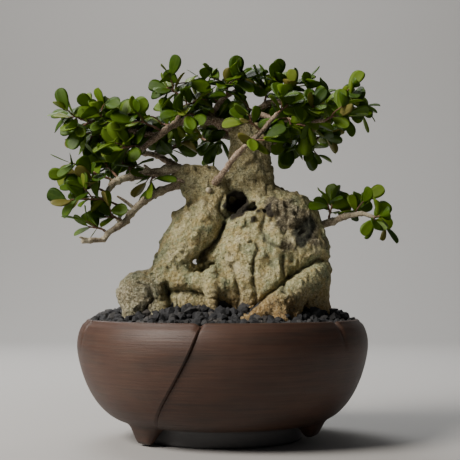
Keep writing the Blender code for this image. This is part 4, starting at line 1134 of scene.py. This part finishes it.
def twig_line(start, end, seed):
    """Fourteen points from start to end, arching up a little and wandering."""
    along = np.linspace(0.0, 1.0, 14)[:, None]
    arch = np.sin(math.pi * along)
    line = start + (end - start) * along + np.array((0.0, 0.0, np.linalg.norm(end - start) * 0.1)) * arch
    return line + drift(line, 6.0 * MM, seed) * 0.7 * MM * arch


def leaves_on(line, count, spread, settings, random):
    """(points, tint, distance from the midrib) of the leaves along a twig."""
    base, axes, faces = leaf_poses(line, count, spread, random)
    blade, _, distance = leaf_template()
    size = settings.leaf_length * random.uniform(0.78, 1.18, count)
    stretch = (np.ones(count), random.uniform(0.88, 1.12, count), random.uniform(0.2, 1.8, count))
    shape = blade * np.stack(stretch, axis=1)[:, None]
    turns = np.stack((axes, np.cross(faces, axes), faces), axis=1)
    points = np.einsum("nvi,nij->nvj", shape, turns) * size[:, None, None] + base[:, None]
    tint = np.clip(random.normal(0.56, 0.2, count), 0.0, 0.9)
    tint = np.where(random.uniform(size=count) < 0.06, 1.0, tint)
    return points.reshape(-1, 3), np.repeat(tint, len(blade)), np.tile(distance, count)


def build_shoot(name, carrier, shoot, seed, settings, materials, nodes=()):
    """A twig with two side twigs, all in leaf. The leaves crowd towards the tips."""
    share, *tip, fullness = shoot
    random = np.random.default_rng(seed)
    route = on_tree(BRANCHES[carrier])
    steps = np.linalg.norm(np.diff(route, axis=0), axis=1)
    place = np.concatenate(((0.0,), np.cumsum(steps))) / steps.sum()
    start = np.array([np.interp(share, place, route[:, k]) for k in range(3)])
    end = on_tree(tip)
    main = twig_line(start, end - unit(end - start) * TIP_LEAF_REACH, 90)
    reach = main[-1] - main[0]
    aside = unit(np.cross(reach, (0.0, 0.3, 1.0)))
    lines, counts, spreads = [main], [max(round(settings.leaves * fullness), 3)], [0.75]
    for station, way in ((5, 1.0), (8, -1.0)):
        length = settings.leaf_length * random.uniform(0.7, 1.1) * min(fullness, 1.0)
        turn = way * random.uniform(0.7, 1.1)
        heading = unit(unit(reach) * 0.7 + aside * turn + random.normal(0.0, 0.2, 3) + (0.0, 0.0, 0.2))
        lines.append(twig_line(main[station], main[station] + heading * length, 93))
        counts.append(max(round(settings.leaves * 0.45 * fullness), 2))
        spreads.append(0.6)
    verts, bark_faces, tints, distances = [], [], [], []
    total = 0
    for line, radius in zip(lines, TWIG_RADII):
        taper = 1.0 - 0.45 * np.linspace(0.0, 1.0, len(line))
        swell = 1.0 + 0.3 * (np.arange(len(line)) % 3 == 0)
        points, groups = limb(line, radius * taper * swell, 7)
        verts.append(points)
        bark_faces += [group + total for group in groups]
        tints.append(np.zeros(len(points)))
        distances.append(np.zeros(len(points)))
        total += len(points)
    _, blade_faces, _ = leaf_template()
    blade_points = blade_faces.max() + 1
    for line, count, spread in zip(lines, counts, spreads):
        points, tint, distance = leaves_on(line, count, spread, settings, random)
        verts.append(points)
        tints.append(tint)
        distances.append(distance)
    shifts = (np.arange(sum(counts)) * blade_points)[:, None, None] + total
    groups = [*bark_faces, (blade_faces + shifts).reshape(-1, 4)]
    values = {"tint": np.concatenate(tints), "across": np.concatenate(distances)}
    slots = [0] * len(bark_faces) + [1]
    mesh = made_mesh(name, np.vstack(verts), groups, materials, slots=slots, values=values)
    return add_piece(name, mesh, nodes)


def build_stub(number, route, material):
    """A bare twig or the stub of a lost one."""
    verts, groups = limb(*resampled(*beads_of(route), BARK_STEP), 8)
    name = f"bare_twig_{number:02d}"
    return add_piece(name, made_mesh(name, verts, groups, [material]))


# --- stage -------------------------------------------------------------------------------------


def add_light(name, place, target, size, power, code):
    """A round soft light at a place, turned to a target."""
    light = bpy.data.lights.new(name, "AREA")
    light.shape = "DISK"
    light.size = size
    light.energy = power
    light.color = linear(code)[:3]
    lamp = bpy.data.objects.new(name, light)
    lamp.location = place
    towards = np.array(target) - np.array(place)
    lamp.rotation_euler = Vector(towards).to_track_quat("-Z", "Y").to_euler()
    bpy.context.scene.collection.objects.link(lamp)
    return lamp


def build_backdrop(material):
    """A pale sheet just under the feet: floor in front, rising in a quarter round to a wall behind."""
    bend = np.linspace(0.0, math.pi / 2, 24)
    front, far, radius, top, half_width, gap = -1.6, 0.9, 0.5, 2.6, 2.5, 0.2 * MM
    section = np.concatenate((
        [(front, 0.0)],
        np.stack((far + radius * np.sin(bend), radius - radius * np.cos(bend)), axis=1),
        [(far + radius, top)],
    ))
    verts = np.array([(x, y, z - gap) for y, z in section for x in (-half_width, half_width)])
    faces = grid_faces(len(section), 2, wrap=False)
    mesh = made_mesh("floor_and_wall", verts, [faces], [material])
    sheet = bpy.data.objects.new("floor_and_wall", mesh)
    bpy.context.scene.collection.objects.link(sheet)
    return sheet


def add_camera():
    """The camera: a little over the rim's height, looking very slightly up, with a long lens."""
    camera = bpy.data.cameras.new("camera")
    camera.lens = CAMERA_LENS
    camera.sensor_width = CAMERA_FILM
    camera.dof.use_dof = False
    eye = bpy.data.objects.new("camera", camera)
    eye.location = CAMERA_PLACE
    eye.rotation_euler = (math.radians(90.0 + CAMERA_TILT), 0.0, 0.0)
    bpy.context.scene.collection.objects.link(eye)
    bpy.context.scene.camera = eye
    return eye


def add_world(strength, code):
    """An even light from all round."""
    world = bpy.data.worlds.new("soft room light")
    world.use_nodes = True
    background = world.node_tree.nodes["Background"]
    background.inputs["Color"].default_value = linear(code)
    background.inputs["Strength"].default_value = strength
    bpy.context.scene.world = world


# --- add-on ------------------------------------------------------------------------------------


class BonsaiSettings(bpy.types.PropertyGroup):
    """What can be set before the pieces are built."""

    seed: bpy.props.IntProperty(name="Seed", description="Picks the scatter of leaves and grains", default=7)
    leaves: bpy.props.IntProperty(
        name="Leaves", description="Usual number of leaves on a shoot", default=7, min=3
    )
    leaf_length: bpy.props.FloatProperty(
        name="Leaf length", description="Length of the usual leaf", default=11.0 * MM, unit="LENGTH"
    )
    grain_size: bpy.props.FloatProperty(
        name="Grain size", description="Width of the usual grain of grit", default=4.5 * MM, unit="LENGTH"
    )
    trunk_detail: bpy.props.FloatProperty(
        name="Trunk detail", description="Grid step of the trunk's surface", default=0.62 * MM, unit="LENGTH"
    )
    net_colour: bpy.props.FloatVectorProperty(
        name="Net colour", description="Colour of the drain net", size=4, subtype="COLOR",
        default=linear("1C1D1E"),
    )
    wire_colour: bpy.props.FloatVectorProperty(
        name="Wire colour", description="Colour of the clip's wire", size=4, subtype="COLOR",
        default=linear("7A5A44"),
    )
    paper_colour: bpy.props.FloatVectorProperty(
        name="Paper colour", description="Colour of the stage's paper", size=4, subtype="COLOR",
        default=linear("ABAAA8"),
    )
    key_power: bpy.props.FloatProperty(name="Key light", description="Power of the key light", default=24.0)
    room_light: bpy.props.FloatProperty(
        name="Room light", description="Strength of the room light", default=0.075
    )


class BONSAI_OT_pot(bpy.types.Operator):
    """Build the stoneware bowl"""

    bl_idname = "bonsai.pot"
    bl_label = "Pot"

    def execute(self, context):
        build_pot()
        return {"FINISHED"}


class BONSAI_OT_drainage(bpy.types.Operator):
    """Finish the net and the clip over the drain hole"""

    bl_idname = "bonsai.drainage"
    bl_label = "Drain net and clip"

    def execute(self, context):
        settings = context.scene.bonsai
        finishes = {
            "drain_mesh": net_material(tuple(settings.net_colour)),
            "mesh_clip": wire_material(tuple(settings.wire_colour)),
        }
        for name, material in finishes.items():
            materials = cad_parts[name].data.materials
            materials.clear()
            materials.append(material)
        return {"FINISHED"}


class BONSAI_OT_soil(bpy.types.Operator):
    """Build the bed of grit and the loose grains on it"""

    bl_idname = "bonsai.soil"
    bl_label = "Grit"

    def execute(self, context):
        material = grit_material()
        build_soil_bed(material)
        build_grit(context.scene.bonsai, material)
        return {"FINISHED"}


class BONSAI_OT_trunk(bpy.types.Operator):
    """Build the swollen trunk and its surface roots"""

    bl_idname = "bonsai.trunk"
    bl_label = "Trunk"

    def execute(self, context):
        build_trunk(context.scene.bonsai)
        return {"FINISHED"}


class BONSAI_OT_branches(bpy.types.Operator):
    """Build the branches"""

    bl_idname = "bonsai.branches"
    bl_label = "Branches"

    def execute(self, context):
        material = branch_material()
        for name, route in BRANCHES.items():
            build_branch(name, route, material)
        for number, route in enumerate(STUBS, start=1):
            build_stub(number, route, material)
        return {"FINISHED"}


class BONSAI_OT_shoots(bpy.types.Operator):
    """Build the twigs with their leaves"""

    bl_idname = "bonsai.shoots"
    bl_label = "Leafy shoots"

    def execute(self, context):
        materials = [twig_material(), leaf_material()]
        settings = context.scene.bonsai
        outer = [(carrier, shoot) for carrier, *group in SHOOTS for shoot in group]
        inner = [(carrier, shoot) for carrier, *group in INNER_SHOOTS for shoot in group]
        for number, (carrier, shoot) in enumerate(outer, start=1):
            name, nodes = f"leafy_twig_{number:02d}", [f"shoot_{number:02d}"]
            build_shoot(name, carrier, shoot, settings.seed * 100 + number, settings, materials, nodes)
        for number, (carrier, shoot) in enumerate(inner, start=1):
            seed = settings.seed * 100 + 50 + number
            build_shoot(f"inner_twig_{number:02d}", carrier, shoot, seed, settings, materials)
        return {"FINISHED"}


class BONSAI_OT_stage(bpy.types.Operator):
    """Set up the floor, the lights and the camera"""

    bl_idname = "bonsai.stage"
    bl_label = "Stage"

    def execute(self, context):
        settings = context.scene.bonsai
        build_backdrop(paper_material(tuple(settings.paper_colour)))
        middle = (0.0, 0.0, 0.1)
        add_light("key light", (-0.8, -0.5, 0.8), middle, 0.6, settings.key_power, "FFF8F0")
        add_light("back light", (-0.3, 0.6, 0.9), middle, 0.6, settings.key_power * 0.25, "FFFFFF")
        add_light("wall light", (0.0, 0.45, 0.95), (0.0, 1.4, 0.3), 0.8, settings.key_power * 0.34, "FFFFFF")
        add_world(settings.room_light, "DDE2EA")
        add_camera()
        return {"FINISHED"}


OPERATORS = (
    BONSAI_OT_pot, BONSAI_OT_drainage, BONSAI_OT_soil, BONSAI_OT_trunk, BONSAI_OT_branches,
    BONSAI_OT_shoots, BONSAI_OT_stage,
)


class BONSAI_PT_panel(bpy.types.Panel):
    """Panel in the 3D view's sidebar"""

    bl_label = "Bonsai"
    bl_idname = "BONSAI_PT_panel"
    bl_space_type = "VIEW_3D"
    bl_region_type = "UI"
    bl_category = "Bonsai"

    def draw(self, context):
        for name in BonsaiSettings.__annotations__:
            self.layout.prop(context.scene.bonsai, name)
        for operator in OPERATORS:
            self.layout.operator(operator.bl_idname)


CLASSES = (BonsaiSettings, *OPERATORS, BONSAI_PT_panel)


def register():
    for cls in CLASSES:
        bpy.utils.register_class(cls)
    bpy.types.Scene.bonsai = bpy.props.PointerProperty(type=BonsaiSettings)


def unregister():
    del bpy.types.Scene.bonsai
    for cls in reversed(CLASSES):
        bpy.utils.unregister_class(cls)


def main():
    register()
    bpy.ops.bonsai.pot()
    bpy.ops.bonsai.drainage()
    bpy.ops.bonsai.soil()
    bpy.ops.bonsai.trunk()
    bpy.ops.bonsai.branches()
    bpy.ops.bonsai.shoots()
    bpy.ops.bonsai.stage()
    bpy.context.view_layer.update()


if __name__ == "__main__":
    main()
